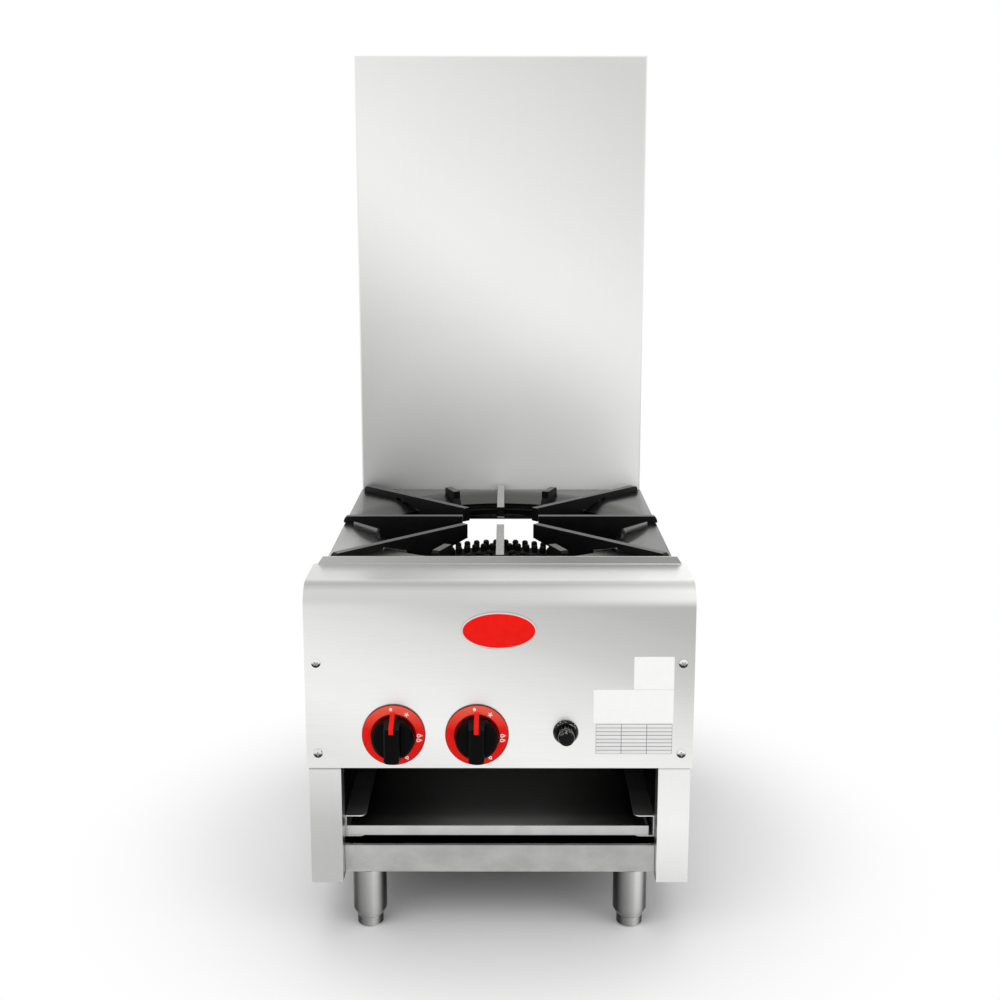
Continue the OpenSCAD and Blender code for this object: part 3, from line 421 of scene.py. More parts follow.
# %% [markdown]
# ## Zinc plated steel and other plain metals
# Crossbars, rails and pipes are mild steel with a thin zinc layer. Zinc dulls in soft
# patches, so the tone wanders over some 40 mm, with a finer mottle on top. Brass, copper,
# nickel and aluminised sheet tarnish in the same way, each between two tones of its own.

# %% Zinc plated steel and other plain metals
PATCH_MM = (42, 42, 30)
MOTTLE_MM = 3.0


def patchy_metal(name, pale, deep, roughness=0.42):
    """A plain metal that has dulled in soft patches."""
    material, tree, shader = new_material(name, Metallic=1.0, Roughness=roughness)
    patches = stretched_noise(tree, PATCH_MM, 4.0)
    tone = layer(tree, spread(tree, patches, 0, 1), colour(pale), colour(deep))
    paint(tree, shader, tone)
    mottle = stretched_noise(tree, (MOTTLE_MM,) * 3)
    tree.links.new(spread(tree, mottle, roughness - 0.06, roughness + 0.08), shader.inputs["Roughness"])
    relief(tree, shader, mottle, 0.02, 0.3)
    return material


# %% [markdown]
# ## The drip tray
# The tray is zinc plated sheet. Its rolled lip stays bright, while a painted reflection of the
# dark bay darkens its floor. So faces that look up are dark, and least so near the front.

# %% The drip tray
FLOOR_STOPS = [(-235, 170), (-205, 140), (-196, 127), (-182, 78), (-168, 57), (-154, 40), (-136, 31),
               (-90, 30), (200, 36)]
FLOOR_LOOK = (0.8, 0.95)
TRAY_PALE, TRAY_DULL = 206, 196
DULLED_MM, GRIT_MM = 30, 1.5


def tray_sheet():
    """The drip tray, with bright walls and a floor darkened by a painted reflection of the bay."""
    material, tree, shader = new_material("zinc_plated_tray", Metallic=1.0, Roughness=0.35)
    patches = stretched_noise(tree, (DULLED_MM,) * 3)
    bright = layer(tree, spread(tree, patches, 0, 1), grey(TRAY_PALE), grey(TRAY_DULL))
    # Painted reflection of the dark bay, least dark near the front
    floor = ramp(tree, along(tree, (0, 1, 0)), FLOOR_STOPS)
    grit = spread(tree, stretched_noise(tree, (GRIT_MM,) * 3), 0.85, 1.1)
    dark = shaded(tree, floor, grit)
    paint(tree, shader, layer(tree, facing(tree, "Z", *FLOOR_LOOK), bright, dark))
    return material


# %% [markdown]
# ## The rails
# The two rails are zinc plated as well. Painted shade darkens them deep in the bay, and only the
# faces at their front ends, which look to the front, are bright with painted light.

# %% The rails
RAIL_STOPS = [(-240, 215), (-205, 165), (-160, 110), (-90, 80), (200, 60)]
FRONT_LIGHT_GREY, FRONT_LIGHT_LOOK = 245, (-0.6, -0.95)


def rail_sheet():
    """Rails darkened towards the back by painted shade, with painted light on their front ends."""
    material = patchy_metal("zinc_plated_rail", "#F4F4F3", "#DCDCDB", 0.5)
    tree, shader, zinc = reopen(material)
    # Painted shade deeper in the bay, and painted light on the faces that look to the front
    painted_shade_rail = shaded(tree, zinc, ramp(tree, along(tree, (0, 1, 0)), RAIL_STOPS))
    paint(tree, shader, layer(tree, facing(tree, "Y", *FRONT_LIGHT_LOOK), painted_shade_rail, grey(FRONT_LIGHT_GREY)))
    return material


# %% [markdown]
# ## Cast iron
# Sand casting leaves a skin of small grains under black stove enamel. They are drawn 1.6 mm
# across, coarser than real ones, so that they show. Pots rub the enamel off where they stand, so
# the highest faces that look up show paler iron with the grain still dark in its pits. The two
# middle arms are the palest, which is painted light; the other arms keep a share of the rubbed tone.

# %% Cast iron
WORN_MM = 3.0
MIDDLE_MM, MIDDLE_SOFT_MM = 8.0, 2.0
TOP_LOOK = (0.93, 0.99)
ENAMEL_PATCH_MM = 25


def cast_iron(name, deep, pale, worn, top, side=0.6, roughness=0.5, grain_mm=1.6, depth_mm=0.12):
    """Black cast iron; worn is the (darkest, palest) level of its rubbed tops at height top.

    Away from the middle the rubbed tone falls to the side share: painted light leaves the middle palest.
    """
    material, tree, shader = new_material(name, Roughness=roughness, Specular_IOR_Level=0.16)
    grain = stretched_noise(tree, (grain_mm,) * 3, 4.0)
    patches = stretched_noise(tree, (ENAMEL_PATCH_MM,) * 3, 2.0)
    tone = layer(tree, spread(tree, patches, 0, 1), colour(deep), colour(pale))
    high = add_node(tree, "MapRange", {"Value": along(tree, (0, 0, 1)), "From Min": top / MM - WORN_MM,
                                       "From Max": top / MM - WORN_MM / 2})
    rub = add_node(tree, "Math", {0: facing(tree, "Z", *TOP_LOOK), 1: high.outputs[0]},
                   operation="MULTIPLY")
    worn_and_lit_tops = layer(tree, spread(tree, grain, 0, 1), grey(worn[0]), grey(worn[1]))
    # Painted light: the rubbed tone is full on the middle arms and falls to the side share beyond
    apart = add_node(tree, "Math", {0: along(tree, (1, 0, 0))}, operation="ABSOLUTE")
    share = add_node(tree, "MapRange", {"Value": apart.outputs[0], "From Min": MIDDLE_MM,
                                        "From Max": MIDDLE_MM + MIDDLE_SOFT_MM,
                                        "To Min": 1, "To Max": side})
    worn_and_lit_tops = shaded(tree, worn_and_lit_tops, share.outputs[0])
    paint(tree, shader, layer(tree, rub.outputs[0], tone, worn_and_lit_tops))
    tree.links.new(rub.outputs[0], shader.inputs["Metallic"])
    tree.links.new(spread(tree, grain, roughness - 0.12, roughness + 0.12), shader.inputs["Roughness"])
    relief(tree, shader, grain, depth_mm, 0.7)
    return material


# %% [markdown]
# ## Moulded plastic
# Knobs, dials and the igniter are moulded. The mould's surface leaves a faint orange peel,
# and handling leaves small patches that shine more than the rest.

# %% Moulded plastic
HANDLED_MM = 9


def moulded_plastic(name, tone, worn, roughness=0.3, peel_mm=2.2, depth_mm=0.02, gloss=0.5):
    """Moulded plastic with faint orange peel."""
    material, tree, shader = new_material(name, Roughness=roughness, IOR=1.5,
                                          Specular_IOR_Level=gloss)
    peel = stretched_noise(tree, (peel_mm,) * 3, 1.0)
    patches = stretched_noise(tree, (HANDLED_MM,) * 3, 2.0)
    paint(tree, shader, layer(tree, spread(tree, patches, 0, 1), colour(tone), colour(worn)))
    tree.links.new(spread(tree, patches, roughness - 0.05, roughness + 0.08), shader.inputs["Roughness"])
    relief(tree, shader, peel, depth_mm, 0.5)
    return material


# %% [markdown]
# ## The dials
# The dials are rings of red plastic that lie open on the panel. Their upper slope looks up into
# the light and carries a painted highlight of paler red, while painted shade darkens the thin outer edge.

# %% Dials with painted highlight and shade
SHEEN_LOOK, EDGE_SHADE_LOOK = (0.05, 0.22), (-0.95, -0.6)


def dial_plastic():
    """Red plastic with a painted highlight where it looks up and painted shade at its outer edge."""
    material = moulded_plastic("red_plastic_painted_sheen", "#F2160B", "#EA130A", 0.3, gloss=0.1)
    tree, shader, red = reopen(material)
    # Painted highlight on the upper slope, painted shade on the outer edge
    sheened = layer(tree, facing(tree, "Z", *SHEEN_LOOK), red, colour("#F4604E"))
    paint(tree, shader, layer(tree, facing(tree, "Y", *EDGE_SHADE_LOOK), sheened, colour("#3A0E0A")))
    return material


# %% [markdown]
# ## The igniter
# The igniter's button and bezel are gloss black. Their upper slopes carry painted highlights,
# small grey spots about 3 mm long.

# %% Igniter with painted highlights
GLINT_MM = (3, 2, 2)
GLINT_GREY, GLINT_LOOK = 140, (0.3, 0.6)


def igniter_plastic():
    """Gloss black plastic with painted highlights on the slopes that look up."""
    material = moulded_plastic("gloss_black_plastic", "#030303", "#060606", 0.12, 5.0, 0.005, 0.14)
    tree, shader, black = reopen(material)
    # Painted highlights: small grey spots on the slopes that look up
    patches = spread(tree, stretched_noise(tree, GLINT_MM, 0.0), 0, 1, 0.58, 0.68)
    glints = add_node(tree, "Math", {0: facing(tree, "Z", *GLINT_LOOK), 1: patches},
                       operation="MULTIPLY")
    paint(tree, shader, layer(tree, glints.outputs[0], black, grey(GLINT_GREY)))
    return material


# %% [markdown]
# ## Which node gets which finish
# Each finish below is made once and shared by all pieces that have it. Besides those above:
# the liner is aluminised sheet, pale and matt, so that it throws heat back. The sheets in the bay
# are painted nearly black, as painted shade. Injectors, valves and the pilot are machined brass,
# warm and fairly smooth. The flame probes are drawn copper. The electrode is glazed ceramic,
# white and glossy, and its lead is red silicone, soft and dull.

# %% Materials of the stove
grate_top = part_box("top_grate")[1].z
burner_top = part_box("outer_burner")[1].z
finishes = {
    "front sheet": front_sheet(),
    "left sheet": side_sheet("brushed_stainless_left", LEFT_STOPS),
    "back sheet": brushed_stainless("brushed_stainless_back", (0, 0, 1), BACK_STOPS, "Z")[0],
    "right sheet": side_sheet("brushed_stainless_right", RIGHT_STOPS),
    "splash sheet": splash_sheet(),
    "pan sheet": pan_sheet(),
    "turned steel": turned_stainless(),
    "liner": patchy_metal("aluminised_liner_sheet", "#E6E6E4", "#DADAD8", 0.5),
    "tray": tray_sheet(),
    "zinc": patchy_metal("zinc_plated_steel", "#C2C2C1", "#B0B0AF"),
    "rail zinc": rail_sheet(),
    # Painted shade: the sheets in the bay are nearly black
    "shade dark sheet": patchy_metal("shade_dark_sheet", "#141414", "#0B0B0B", 0.6),
    "cast iron": cast_iron("enamelled_cast_iron", "#060606", "#0C0C0C", (136, 222), grate_top, 0.3, 0.42),
    "burner iron": cast_iron("burner_cast_iron", "#070707", "#0F0F0E", (30, 60), burner_top),
    "dial plastic": dial_plastic(),
    "red plastic": moulded_plastic("red_moulded_plastic", "#F2160B", "#EA130A", 0.3, gloss=0.1),
    "black plastic": moulded_plastic("black_moulded_plastic", "#020202", "#050505", 0.36, gloss=0.06),
    "gloss black": igniter_plastic(),
    "brass": patchy_metal("machined_brass", "#C9A24E", "#B48A3C", 0.36),
    "copper": patchy_metal("drawn_copper", "#B87353", "#9A5C41", 0.35),
    "ceramic": moulded_plastic("glazed_ceramic", "#ECEAE2", "#E2DFD4", 0.15),
    "silicone": moulded_plastic("red_silicone_lead", "#9C1F18", "#8A1A14", 0.5),
}
print("made", len(finishes), "finishes")

# %% [markdown]
# ## Dressing the nodes
# The table below names the nodes of each finish, with the rounding of their edges in
# millimetres. A real edge is never perfectly sharp, and its line of light tells the eye that two
# faces meet, so a bevel modifier rounds it. Cast iron is rounded most. A rounding of 0 is for
# thin sheets, whose folds are round already, and for the burner and the small pieces inside:
# their edges are only split, which keeps them crisp. A weld comes first, because a CAD mesh is
# loose triangles.

# %% Dress the nodes
wear = {
    "front sheet": (0, ["front_panel"]),
    "left sheet": (0, ["left_side_panel"]),
    "back sheet": (0, ["back_panel"]),
    "right sheet": (0, ["right_side_panel"]),
    "splash sheet": (0, ["splashback"]),
    "pan sheet": (0, ["hob_pan"]),
    "liner": (0, ["rear_liner"]),
    "tray": (0.3, ["drip_tray"]),
    "turned steel": (0.5, ["front_left_leg", "front_right_leg", "rear_left_leg", "rear_right_leg",
                           "front_left_foot", "front_right_foot", "rear_left_foot",
                           "rear_right_foot", "left_spindle", "right_spindle", "left_guide_ring",
                           "right_guide_ring"]),
    "zinc": (0.3, ["front_crossbar", "rear_crossbar", "splash_stays", "gas_manifold", "inlet_pipe",
                   "left_air_shutter", "right_air_shutter", "pilot_bracket", "pilot_tube"]),
    "rail zinc": (0, ["left_rail", "right_rail"]),
    "shade dark sheet": (0, ["base_plate", "left_liner", "right_liner", "valve_shield",
                            "burner_bridge"]),
    "cast iron": (0.9, ["top_grate"]),
    "burner iron": (0, ["outer_burner", "inner_burner", "left_mixer", "right_mixer"]),
    "dial plastic": (0.2, ["left_dial", "right_dial"]),
    "red plastic": (0.3, ["left_pointer", "right_pointer"]),
    "black plastic": (0.7, ["left_knob", "right_knob"]),
    "gloss black": (0.3, ["igniter_bezel", "igniter_body", "igniter_button"]),
    "brass": (0, ["left_injector", "right_injector", "left_valve", "right_valve", "pilot_burner"]),
    "copper": (0, ["thermocouples"]),
    "ceramic": (0, ["spark_electrode"]),
    "silicone": (0, ["ignition_lead"]),
}
WELD_MM = 0.002
SHARP_DEG = 32


def smooth_by_angle(obj, edge_mm):
    """Welds the triangles, rounds or splits the sharp edges and evens out the shading."""
    for face in obj.data.polygons:
        face.use_smooth = True
    weld = obj.modifiers.new("weld", "WELD")
    weld.merge_threshold = WELD_MM * MM
    if edge_mm:
        bevel = obj.modifiers.new("edges", "BEVEL")
        bevel.width = edge_mm * MM
        bevel.segments = 2
        bevel.limit_method = "ANGLE"
        bevel.angle_limit = math.radians(SHARP_DEG)
    else:
        split = obj.modifiers.new("sharp edges", "EDGE_SPLIT")
        split.split_angle = math.radians(SHARP_DEG)
    normals = obj.modifiers.new("normals", "WEIGHTED_NORMAL")
    normals.keep_sharp = True


def dress(obj, material):
    """Gives an object one material."""
    obj.data.materials.clear()
    obj.data.materials.append(material)


for finish, (edge_mm, names) in wear.items():
    for name in names:
        dress(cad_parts[name], finishes[finish])
        smooth_by_angle(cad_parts[name], edge_mm)
print("dressed", sum(len(names) for _, names in wear.values()), "nodes")

# %% [markdown]
# ## Helpers for new pieces
# A piece is shaped in a bmesh around the origin, moved to its place, and written to an
# object that sits at the origin, as the CAD nodes do. It rides on the CAD body that it is
# fastened to, so it moves with it.

# %% Piece helper
# Points closer than this, in metres, are one point
MERGE = 1e-7


def make_piece(name, bm, body, material, place=Matrix.Identity(4), smooth=True):
    """Writes a bmesh to a new object that rides on a CAD body."""
    bmesh.ops.transform(bm, matrix=place, verts=bm.verts)
    bmesh.ops.remove_doubles(bm, verts=bm.verts, dist=MERGE)
    bmesh.ops.recalc_face_normals(bm, faces=bm.faces)
    mesh = bpy.data.meshes.new(name)
    bm.to_mesh(mesh)
    bm.free()
    obj = bpy.data.objects.new(name, mesh)
    bpy.context.scene.collection.objects.link(obj)
    for face in mesh.polygons:
        face.use_smooth = smooth
    if smooth:
        split = obj.modifiers.new("sharp edges", "EDGE_SPLIT")
        split.split_angle = math.radians(SHARP_DEG)
    dress(obj, material)
    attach(obj, body)
    return obj


def on_front(x, z):
    """The turn and place that stand a flat shape on the front panel, facing the viewer."""
    return Matrix.Translation((x * MM, front_y, z * MM)) @ Matrix.Rotation(math.pi / 2, 4, "X")


# %% [markdown]
# ## The badge
# The front carries an oval plate of red enamel in a bright rim. It stays blank here.
# An oval could be an inset disc, but insets run together at an oval's ends. So a half
# profile with a rounded shoulder is spun into a round plate, which is then squeezed.

# %% The badge
BADGE_W, BADGE_H, BADGE_T = 88.6, 45.0, 2.2
BADGE_X, BADGE_Z = -0.7, 389.0
RIM_MM, FIELD_PROUD, FIELD_CROWN = 1.8, 0.3, 0.5


def spun(profile, steps):
    """Turns a profile of (radius, height) in mm round Z; it starts and ends on the axis."""
    bm = bmesh.new()
    verts = [bm.verts.new((r * MM, 0, h * MM)) for r, h in profile]
    edges = [bm.edges.new(pair) for pair in zip(verts, verts[1:])]
    bmesh.ops.spin(bm, geom=verts + edges, cent=(0, 0, 0), axis=(0, 0, 1), angle=2 * math.pi,
                   steps=steps, use_merge=True)
    bmesh.ops.remove_doubles(bm, verts=bm.verts, dist=MERGE)
    return bm


def oval(width, height, depth, crown, shoulder=0.8):
    """A closed oval plate with a crowned front, its back at Z 0."""
    half = width / 2
    profile = [(0, depth + crown), (half * 0.5, depth + crown * 0.8),
               (half - shoulder, depth), (half - shoulder * 0.3, depth - shoulder * 0.25),
               (half, depth - shoulder), (half, 0), (0, 0)]
    bm = spun(profile, 96)
    bmesh.ops.scale(bm, vec=(1, height / width, 1), verts=bm.verts)
    return bm


rim_metal = patchy_metal("nickel_plated_rim", "#DADAD9", "#D0D0CF", 0.16)
badge_place = on_front(BADGE_X, BADGE_Z)
make_piece("badge_rim", oval(BADGE_W, BADGE_H, BADGE_T, 0.0), "stove_body", rim_metal,
           badge_place)
field = oval(BADGE_W - 2 * RIM_MM, BADGE_H - 2 * RIM_MM, BADGE_T + FIELD_PROUD, FIELD_CROWN)
make_piece("badge_field", field, "stove_body", finishes["red plastic"], badge_place)
print("badge", BADGE_W, "x", BADGE_H, "mm")

# %% [markdown]
# ## The rating plates
# Three thin plates sit at the right of the panel. All stay blank, and the lowest one is
# ruled as an empty table. A plate is a cube made flat, with its four corners rounded by a
# bevel. The upper two are coated label stock. The table is printed on coated aluminium, so it
# doesn't shine as bare metal does. Its rules are the joints of a brick texture with rows that
# aren't shifted.

# %% The plates
PLATE_T, CORNER_MM = 0.3, 0.8
plate_white = moulded_plastic("coated_label_stock", "#F9F9F8", "#F7F7F6", 0.4, 1.5, 0.002)


def plate(width, height, thickness):
    """A thin plate with slightly rounded corners, its back at Z 0."""
    bm = bmesh.new()
    bmesh.ops.create_cube(bm, size=1, matrix=Matrix.Diagonal((width * MM, height * MM, thickness * MM, 1)))
    bmesh.ops.translate(bm, vec=(0, 0, thickness / 2 * MM), verts=bm.verts)
    corners = [e for e in bm.edges if abs(e.verts[0].co.z - e.verts[1].co.z) > thickness / 2 * MM]
    bmesh.ops.bevel(bm, geom=corners, offset=CORNER_MM * MM, segments=4, profile=0.5,
                    affect="EDGES", material=-1)
    return bm


TABLE_X, TABLE_Z, TABLE_W, TABLE_H = 158.5, 255.5, 90.0, 37.0
COLUMNS, ROWS, RULE_MM = 3, 8, 0.4


def ruled_metal():
    """Printed plate with an empty table, ruled from its top left corner."""
    material, tree, shader = new_material("ruled_aluminium_plate", Roughness=0.4)
    coords = add_node(tree, "TexCoord")
    corner = (-(TABLE_X - TABLE_W / 2) * MM, (TABLE_Z + TABLE_H / 2) * MM, 0)
    turned = add_node(tree, "Mapping", {"Vector": coords.outputs["Object"], "Location": corner,
                                        "Rotation": (math.pi / 2, 0, 0)})
    bricks = add_node(tree, "TexBrick", {"Vector": turned.outputs[0], "Color1": colour("#E9E9E8"),
                                         "Color2": colour("#E2E2E1"), "Mortar": colour("#77777A"),
                                         "Scale": 1.0, "Mortar Size": RULE_MM * MM,
                                         "Brick Width": TABLE_W / COLUMNS * MM,
                                         "Row Height": TABLE_H / ROWS * MM}, offset=0.0)
    paint(tree, shader, bricks.outputs["Color"])
    return material


plates = [
    ("top_plate", 181.0, 337.0, 47.0, 40.0, plate_white),
    ("middle_plate", 157.5, 296.0, 94.0, 41.0, plate_white),
    ("table_plate", TABLE_X, TABLE_Z, TABLE_W, TABLE_H, ruled_metal()),
]
for name, x, z, width, height, material in plates:
    make_piece(name, plate(width, height, PLATE_T), "stove_body", material,
               on_front(x, z), smooth=False)
print("plates:", len(plates))

# %% [markdown]
# ## Marks on the dials
# Each dial has a dot for off, a spark for lighting, a flame pair for full and a small flame
# for low. They are pad printed on the sloped ring, so each mark is a flat shape laid along
# the slope, 0.15 mm proud. The flames are open, so their outline is inset and emptied.

# %% Dial marks
ink = moulded_plastic("white_pad_print", "#F7F4F2", "#EFEBE8", 0.45, 0.8, 0.004, 0.3)
MARK_T = 0.15
DIAL_IN, DIAL_OUT = 27.0, 36.5
DIAL_TOP, DIAL_EDGE = (front_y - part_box("left_dial")[0].y) / MM, 3.0
SLOPE = math.atan2(DIAL_TOP - DIAL_EDGE, DIAL_OUT - DIAL_IN)


def outline_shape(points, line=0.0):
    """A thin flat shape from its outline in mm; a line width leaves it open in the middle."""
    bm = bmesh.new()
    face = bm.faces.new([bm.verts.new((x * MM, y * MM, 0)) for x, y in points])
    if line:
        bm.normal_update()
        bmesh.ops.inset_region(bm, faces=[face], thickness=line * MM, use_boundary=True,
                               use_even_offset=True)
        bmesh.ops.delete(bm, geom=[face], context="FACES")
    lifted = bmesh.ops.extrude_face_region(bm, geom=bm.faces[:])
    tops = [v for v in lifted["geom"] if isinstance(v, bmesh.types.BMVert)]
    bmesh.ops.translate(bm, vec=(0, 0, MARK_T * MM), verts=tops)
    return bm


def disc(radius, facets=24):
    """Outline of a dot."""
    return [(radius * math.cos(a), radius * math.sin(a))
            for a in (2 * math.pi * i / facets for i in range(facets))]


def star(radius, waist, rays):
    """Outline of a spark."""
    return [((radius if i % 2 == 0 else waist) * math.sin(math.pi * i / rays),
             (radius if i % 2 == 0 else waist) * math.cos(math.pi * i / rays))
            for i in range(2 * rays)]


def flame(width, height, shift=0.0, facets=28):
    """Outline of a flame: round below, drawn to a point above."""
    points = []
    for i in range(facets):
        a = 2 * math.pi * i / facets
        taper = (1 + math.sin(a)) / 2
        points.append((shift + width / 2 * math.cos(a) * (1 - 0.85 * taper ** 1.5),
                       height * (taper ** 1.3 - 0.45)))
    return points


def mark_place(centre, angle, radius):
    """Where a mark lies on the sloped ring; the angle runs clockwise from the top."""
    out = DIAL_TOP - (radius - DIAL_IN) * math.tan(SLOPE)
    spin = Matrix.Rotation(math.radians(angle), 4, "Y")
    lay = Matrix.Translation((0, -out * MM, radius * MM)) @ Matrix.Rotation(math.pi / 2 - SLOPE, 4, "X")
    return Matrix.Translation((centre.x, front_y, centre.z)) @ spin @ lay


FLAME_LINE = 1.1
marks = [
    ("off_dot", -5, 32.5, 0, [disc(1.9)]),
    ("spark", 31, 30.5, 0, [star(3.6, 1.3, 5)]),
    ("full_flame", 95, 30.6, FLAME_LINE, [flame(5.6, 7.0, -2.9), flame(5.6, 7.0, 2.9)]),
    ("low_flame", 150, 32.0, FLAME_LINE, [flame(5.4, 5.6)]),
]
printed = 0
for side, centre in zip(("left", "right"), dial_centres):
    for name, angle, radius, line, outlines in marks:
        for number, points in enumerate(outlines):
            make_piece(f"{side}_{name}_{number}", outline_shape(points, line), "stove_body", ink,
                       mark_place(centre, angle, radius), smooth=False)
            printed += 1
print("marks on the dials:", printed, "on a slope of", round(math.degrees(SLOPE), 1), "degrees")

# %% [markdown]
# ## Screw heads
# The panel screws are bright plated pan head screws with a cross recess. Each head is a half
# profile spun round its axis, and the recess is cut by a Boolean with two small crossed bars.
# No two screws are driven to the same angle, so each head is turned a little further. What looks
# down is dark, a painted reflection of the shade below the dome. The heads take the place of the
# plain ones in the CAD frame.

# %% Screw heads
HEAD_R, HEAD_H, SLOT_W, SLOT_L, SLOT_D = 5.5, 3.0, 1.3, 6.2, 1.7


def screw_head():
    """A domed head with its seat at Z 0."""
    return spun([(0, HEAD_H), (HEAD_R * 0.45, HEAD_H - 0.1), (HEAD_R * 0.75, HEAD_H - 0.55),
                 (HEAD_R * 0.94, HEAD_H - 1.3), (HEAD_R, HEAD_H - 2.1), (HEAD_R, 0), (0, 0)], 32)


def cross_cutter():
    """Two crossed bars that cut the recess."""
    bm = bmesh.new()
    for turn in (0, math.pi / 2):
        size = Matrix.Diagonal((SLOT_L * MM, SLOT_W * MM, 2 * SLOT_D * MM, 1))
        place = Matrix.Translation((0, 0, HEAD_H * MM)) @ Matrix.Rotation(turn, 4, "Z")
        bmesh.ops.create_cube(bm, size=1, matrix=place @ size)
    return bm


def plain_object(name, bm):
    """A bare object for a modifier to read."""
    mesh = bpy.data.meshes.new(name)
    bmesh.ops.recalc_face_normals(bm, faces=bm.faces)
    bm.to_mesh(mesh)
    bm.free()
    obj = bpy.data.objects.new(name, mesh)
    bpy.context.scene.collection.objects.link(obj)
    return obj


def cut_screw_head():
    """The mesh of one head with its recess."""
    head = plain_object("head", screw_head())
    cutter = plain_object("cutter", cross_cutter())
    cut = head.modifiers.new("cross", "BOOLEAN")
    cut.operation, cut.object, cut.solver = "DIFFERENCE", cutter, "EXACT"
    # The two bars of the cutter run through each other
    cut.use_self = True
    bpy.context.view_layer.update()
    evaluated = head.evaluated_get(bpy.context.evaluated_depsgraph_get())
    mesh = bpy.data.meshes.new_from_object(evaluated)
    bpy.data.objects.remove(head)
    bpy.data.objects.remove(cutter)
    return mesh


DARK_UNDERSIDE_LOOK = (0.15, -0.12)


def screw_plating():
    """Bright plating, with a painted reflection that is dark where a face looks down."""
    material = patchy_metal("bright_plated_screw", "#F2F2F1", "#E2E2E1", 0.18)
    tree, shader, bright = reopen(material)
    # Painted reflection: faces that look down are dark
    paint(tree, shader, layer(tree, facing(tree, "Z", *DARK_UNDERSIDE_LOOK), bright, colour("#2A2A2A")))
    return material


head_mesh = cut_screw_head()
# How far the screws stand in from the sides, and their heights
SCREW_IN, SCREW_ZS = 11.7, (237.5, 349.0)
BACK_IN, BACK_ZS = 10.0, (110.0, 240.0, 370.0)
TURN_DEG = 37
screw_places = []
for sign in (-1, 1):
    for z in SCREW_ZS:
        face = Matrix.Translation((sign * (side_x - SCREW_IN * MM), front_y, z * MM))
        screw_places.append(face @ Matrix.Rotation(math.pi / 2, 4, "X"))
    for z in BACK_ZS:
        face = Matrix.Translation((sign * (side_x - BACK_IN * MM), back_y, z * MM))
        screw_places.append(face @ Matrix.Rotation(-math.pi / 2, 4, "X"))
heads = bmesh.new()
for number, place in enumerate(screw_places):
    before = len(heads.verts)
    heads.from_mesh(head_mesh)
    heads.verts.ensure_lookup_table()
    turn = Matrix.Rotation(math.radians(TURN_DEG * number % 90), 4, "Z")
    bmesh.ops.transform(heads, matrix=place @ turn, verts=heads.verts[before:])
screws = make_piece("screw_heads", heads, "stove_body", screw_plating())
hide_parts("panel_screws")
print("screws:", len(screw_places))

# %% [markdown]
# ## The thread on the gas inlet
# A taper pipe thread would be a helix. From here, evenly spaced ridges look the same, so a
# zigzag profile is spun once round the pipe, one ridge for each pitch.

# %% Inlet thread
PITCH_MM, RIDGE_MM, PROUD_MM = 2.3, 0.45, 0.05
SUNK_MM, START_MM = 1.0, 0.2
THREAD_R = 13.2
# The radius of the inlet pipe's widest part, from its axis to the side of its box
PIPE_R = 13.45
inlet_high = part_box("inlet_pipe")[1]


def thread_sleeve(radius, length):
    """Ridges round Z from Z 0 to the length."""
    bm = bmesh.new()
    ridges = int(length / PITCH_MM)
    profile = [(radius - SUNK_MM, START_MM)]
    for i in range(ridges):
        profile.append((radius - RIDGE_MM, (i + 0.1) * PITCH_MM + START_MM))
        profile.append((radius + PROUD_MM, (i + 0.55) * PITCH_MM + START_MM))
    profile.append((radius - RIDGE_MM, ridges * PITCH_MM))
    profile.append((radius - SUNK_MM, ridges * PITCH_MM))
    verts = [bm.verts.new((r * MM, 0, h * MM)) for r, h in profile]
    edges = [bm.edges.new(pair) for pair in zip(verts, verts[1:] + verts[:1])]
    bmesh.ops.spin(bm, geom=verts + edges, cent=(0, 0, 0), axis=(0, 0, 1), angle=2 * math.pi,
                   steps=48, use_merge=True)
    return bm


inlet_end = Vector((inlet_high.x - PIPE_R * MM, back_y, inlet_high.z - PIPE_R * MM))
inlet_place = Matrix.Translation(inlet_end) @ Matrix.Rotation(-math.pi / 2, 4, "X")
inlet_reach = (inlet_high.y - back_y) / MM
make_piece("inlet_thread", thread_sleeve(THREAD_R, inlet_reach), "stove_body", finishes["zinc"],
           inlet_place, smooth=False)
print("inlet axis", [round(part / MM, 1) for part in inlet_end], "mm, reach", round(inlet_reach, 1), "mm")

# %% [markdown]
# ## Light, floor and background
# The photograph has an even white surround. The world is white to the camera, in mirrors and
# through glass, and weaker as a light, and three broad lamps give the shapes their shading.

# %% The world
WORLD_LIGHT = 0.62


def make_world():
    """White where it is seen, softer where it lights."""
    world = bpy.data.worlds.new("studio")
    world.use_nodes = True
    tree = world.node_tree
    seen = add_node(tree, "LightPath")
    first = add_node(tree, "Math", {0: seen.outputs["Is Camera Ray"], 1: seen.outputs["Is Glossy Ray"]},
                     operation="MAXIMUM")
    shown = add_node(tree, "Math", {0: first.outputs[0], 1: seen.outputs["Is Transmission Ray"]},
                     operation="MAXIMUM")
    level = add_node(tree, "MapRange", {"Value": shown.outputs[0], "To Min": WORLD_LIGHT,
                                          "To Max": 1.0})
    background = tree.nodes["Background"]
    background.inputs["Color"].default_value = (1, 1, 1, 1)
    tree.links.new(level.outputs[0], background.inputs["Strength"])
    bpy.context.scene.world = world


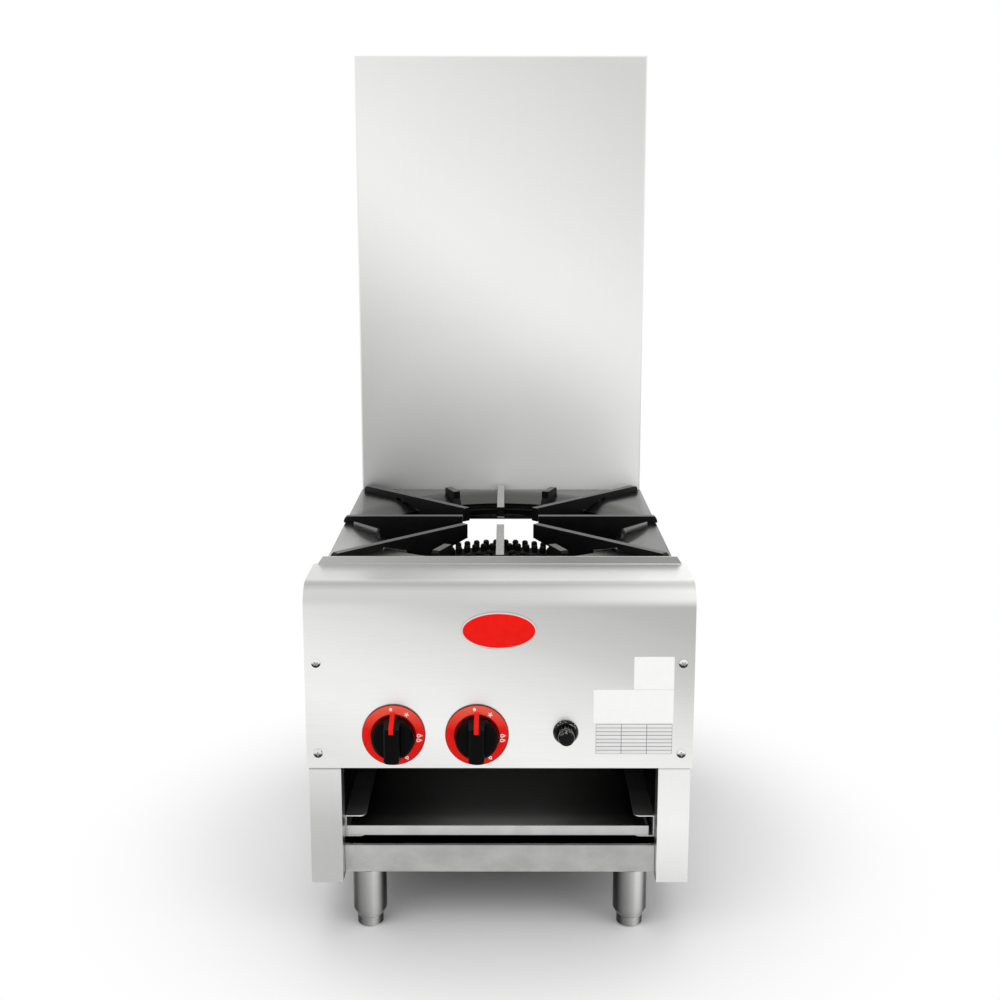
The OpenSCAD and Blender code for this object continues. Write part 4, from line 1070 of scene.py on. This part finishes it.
def area_lamp(name, place, target, size, watts):
    """A square softbox aimed at a point; metal mirrors the white surround instead of it."""
    data = bpy.data.lights.new(name, "AREA")
    data.shape, data.size, data.energy = "SQUARE", size, watts
    lamp = bpy.data.objects.new(name, data)
    bpy.context.scene.collection.objects.link(lamp)
    lamp.location = place
    lamp.visible_glossy = False
    lamp.rotation_euler = (Vector(target) - Vector(place)).to_track_quat("-Z", "Y").to_euler()


make_world()
lamps = [
    ("key", (-2.4, -3.0, 3.2), (0, 0, 0.45), 4.4, 62),
    ("fill", (3.4, -2.4, 2.0), (0, 0, 0.4), 3.4, 36),
    ("top", (0.0, 0.4, 3.4), (0, 0, 0.4), 3.0, 36),
]
for lamp in lamps:
    area_lamp(*lamp)
print("lamps:", len(lamps))

# %% [markdown]
# The floor is pale and keeps the shadow under the stove. Away from the stove it turns to the
# plain white of the surround, so no horizon shows. The turn follows the distance from the middle.

# %% The floor
FADE_FROM, FADE_TO = 330, 620
FLOOR_SIZE = 12


def make_floor():
    """A pale floor with the stove's shadow, fading into the white surround."""
    bm = bmesh.new()
    bmesh.ops.create_grid(bm, x_segments=1, y_segments=1, size=FLOOR_SIZE)
    mesh = bpy.data.meshes.new("floor")
    bm.to_mesh(mesh)
    bm.free()
    floor = bpy.data.objects.new("floor", mesh)
    bpy.context.scene.collection.objects.link(floor)
    material, tree, shader = new_material("pale_floor", Roughness=0.9, Specular_IOR_Level=0.0)
    shader.inputs["Base Color"].default_value = colour("#F4F4F4")
    seen = add_node(tree, "LightPath")
    shown = add_node(tree, "Math", {0: seen.outputs["Is Camera Ray"], 1: seen.outputs["Is Glossy Ray"]},
                     operation="MAXIMUM")
    coords = add_node(tree, "TexCoord")
    apart = add_node(tree, "VectorMath", {0: coords.outputs["Object"]}, operation="LENGTH")
    far = add_node(tree, "MapRange", {"Value": apart.outputs["Value"], "From Min": FADE_FROM * MM,
                                      "From Max": FADE_TO * MM}, interpolation_type="SMOOTHSTEP")
    share = add_node(tree, "Math", {0: far.outputs[0], 1: shown.outputs[0]}, operation="MULTIPLY")
    glow = add_node(tree, "Emission", {"Strength": 1.0})
    both = add_node(tree, "MixShader", {0: share.outputs[0], 1: shader.outputs[0], 2: glow.outputs[0]})
    tree.links.new(both.outputs[0], tree.nodes["Material Output"].inputs["Surface"])
    dress(floor, material)


make_floor()
bpy.context.scene.view_settings.view_transform = "Standard"
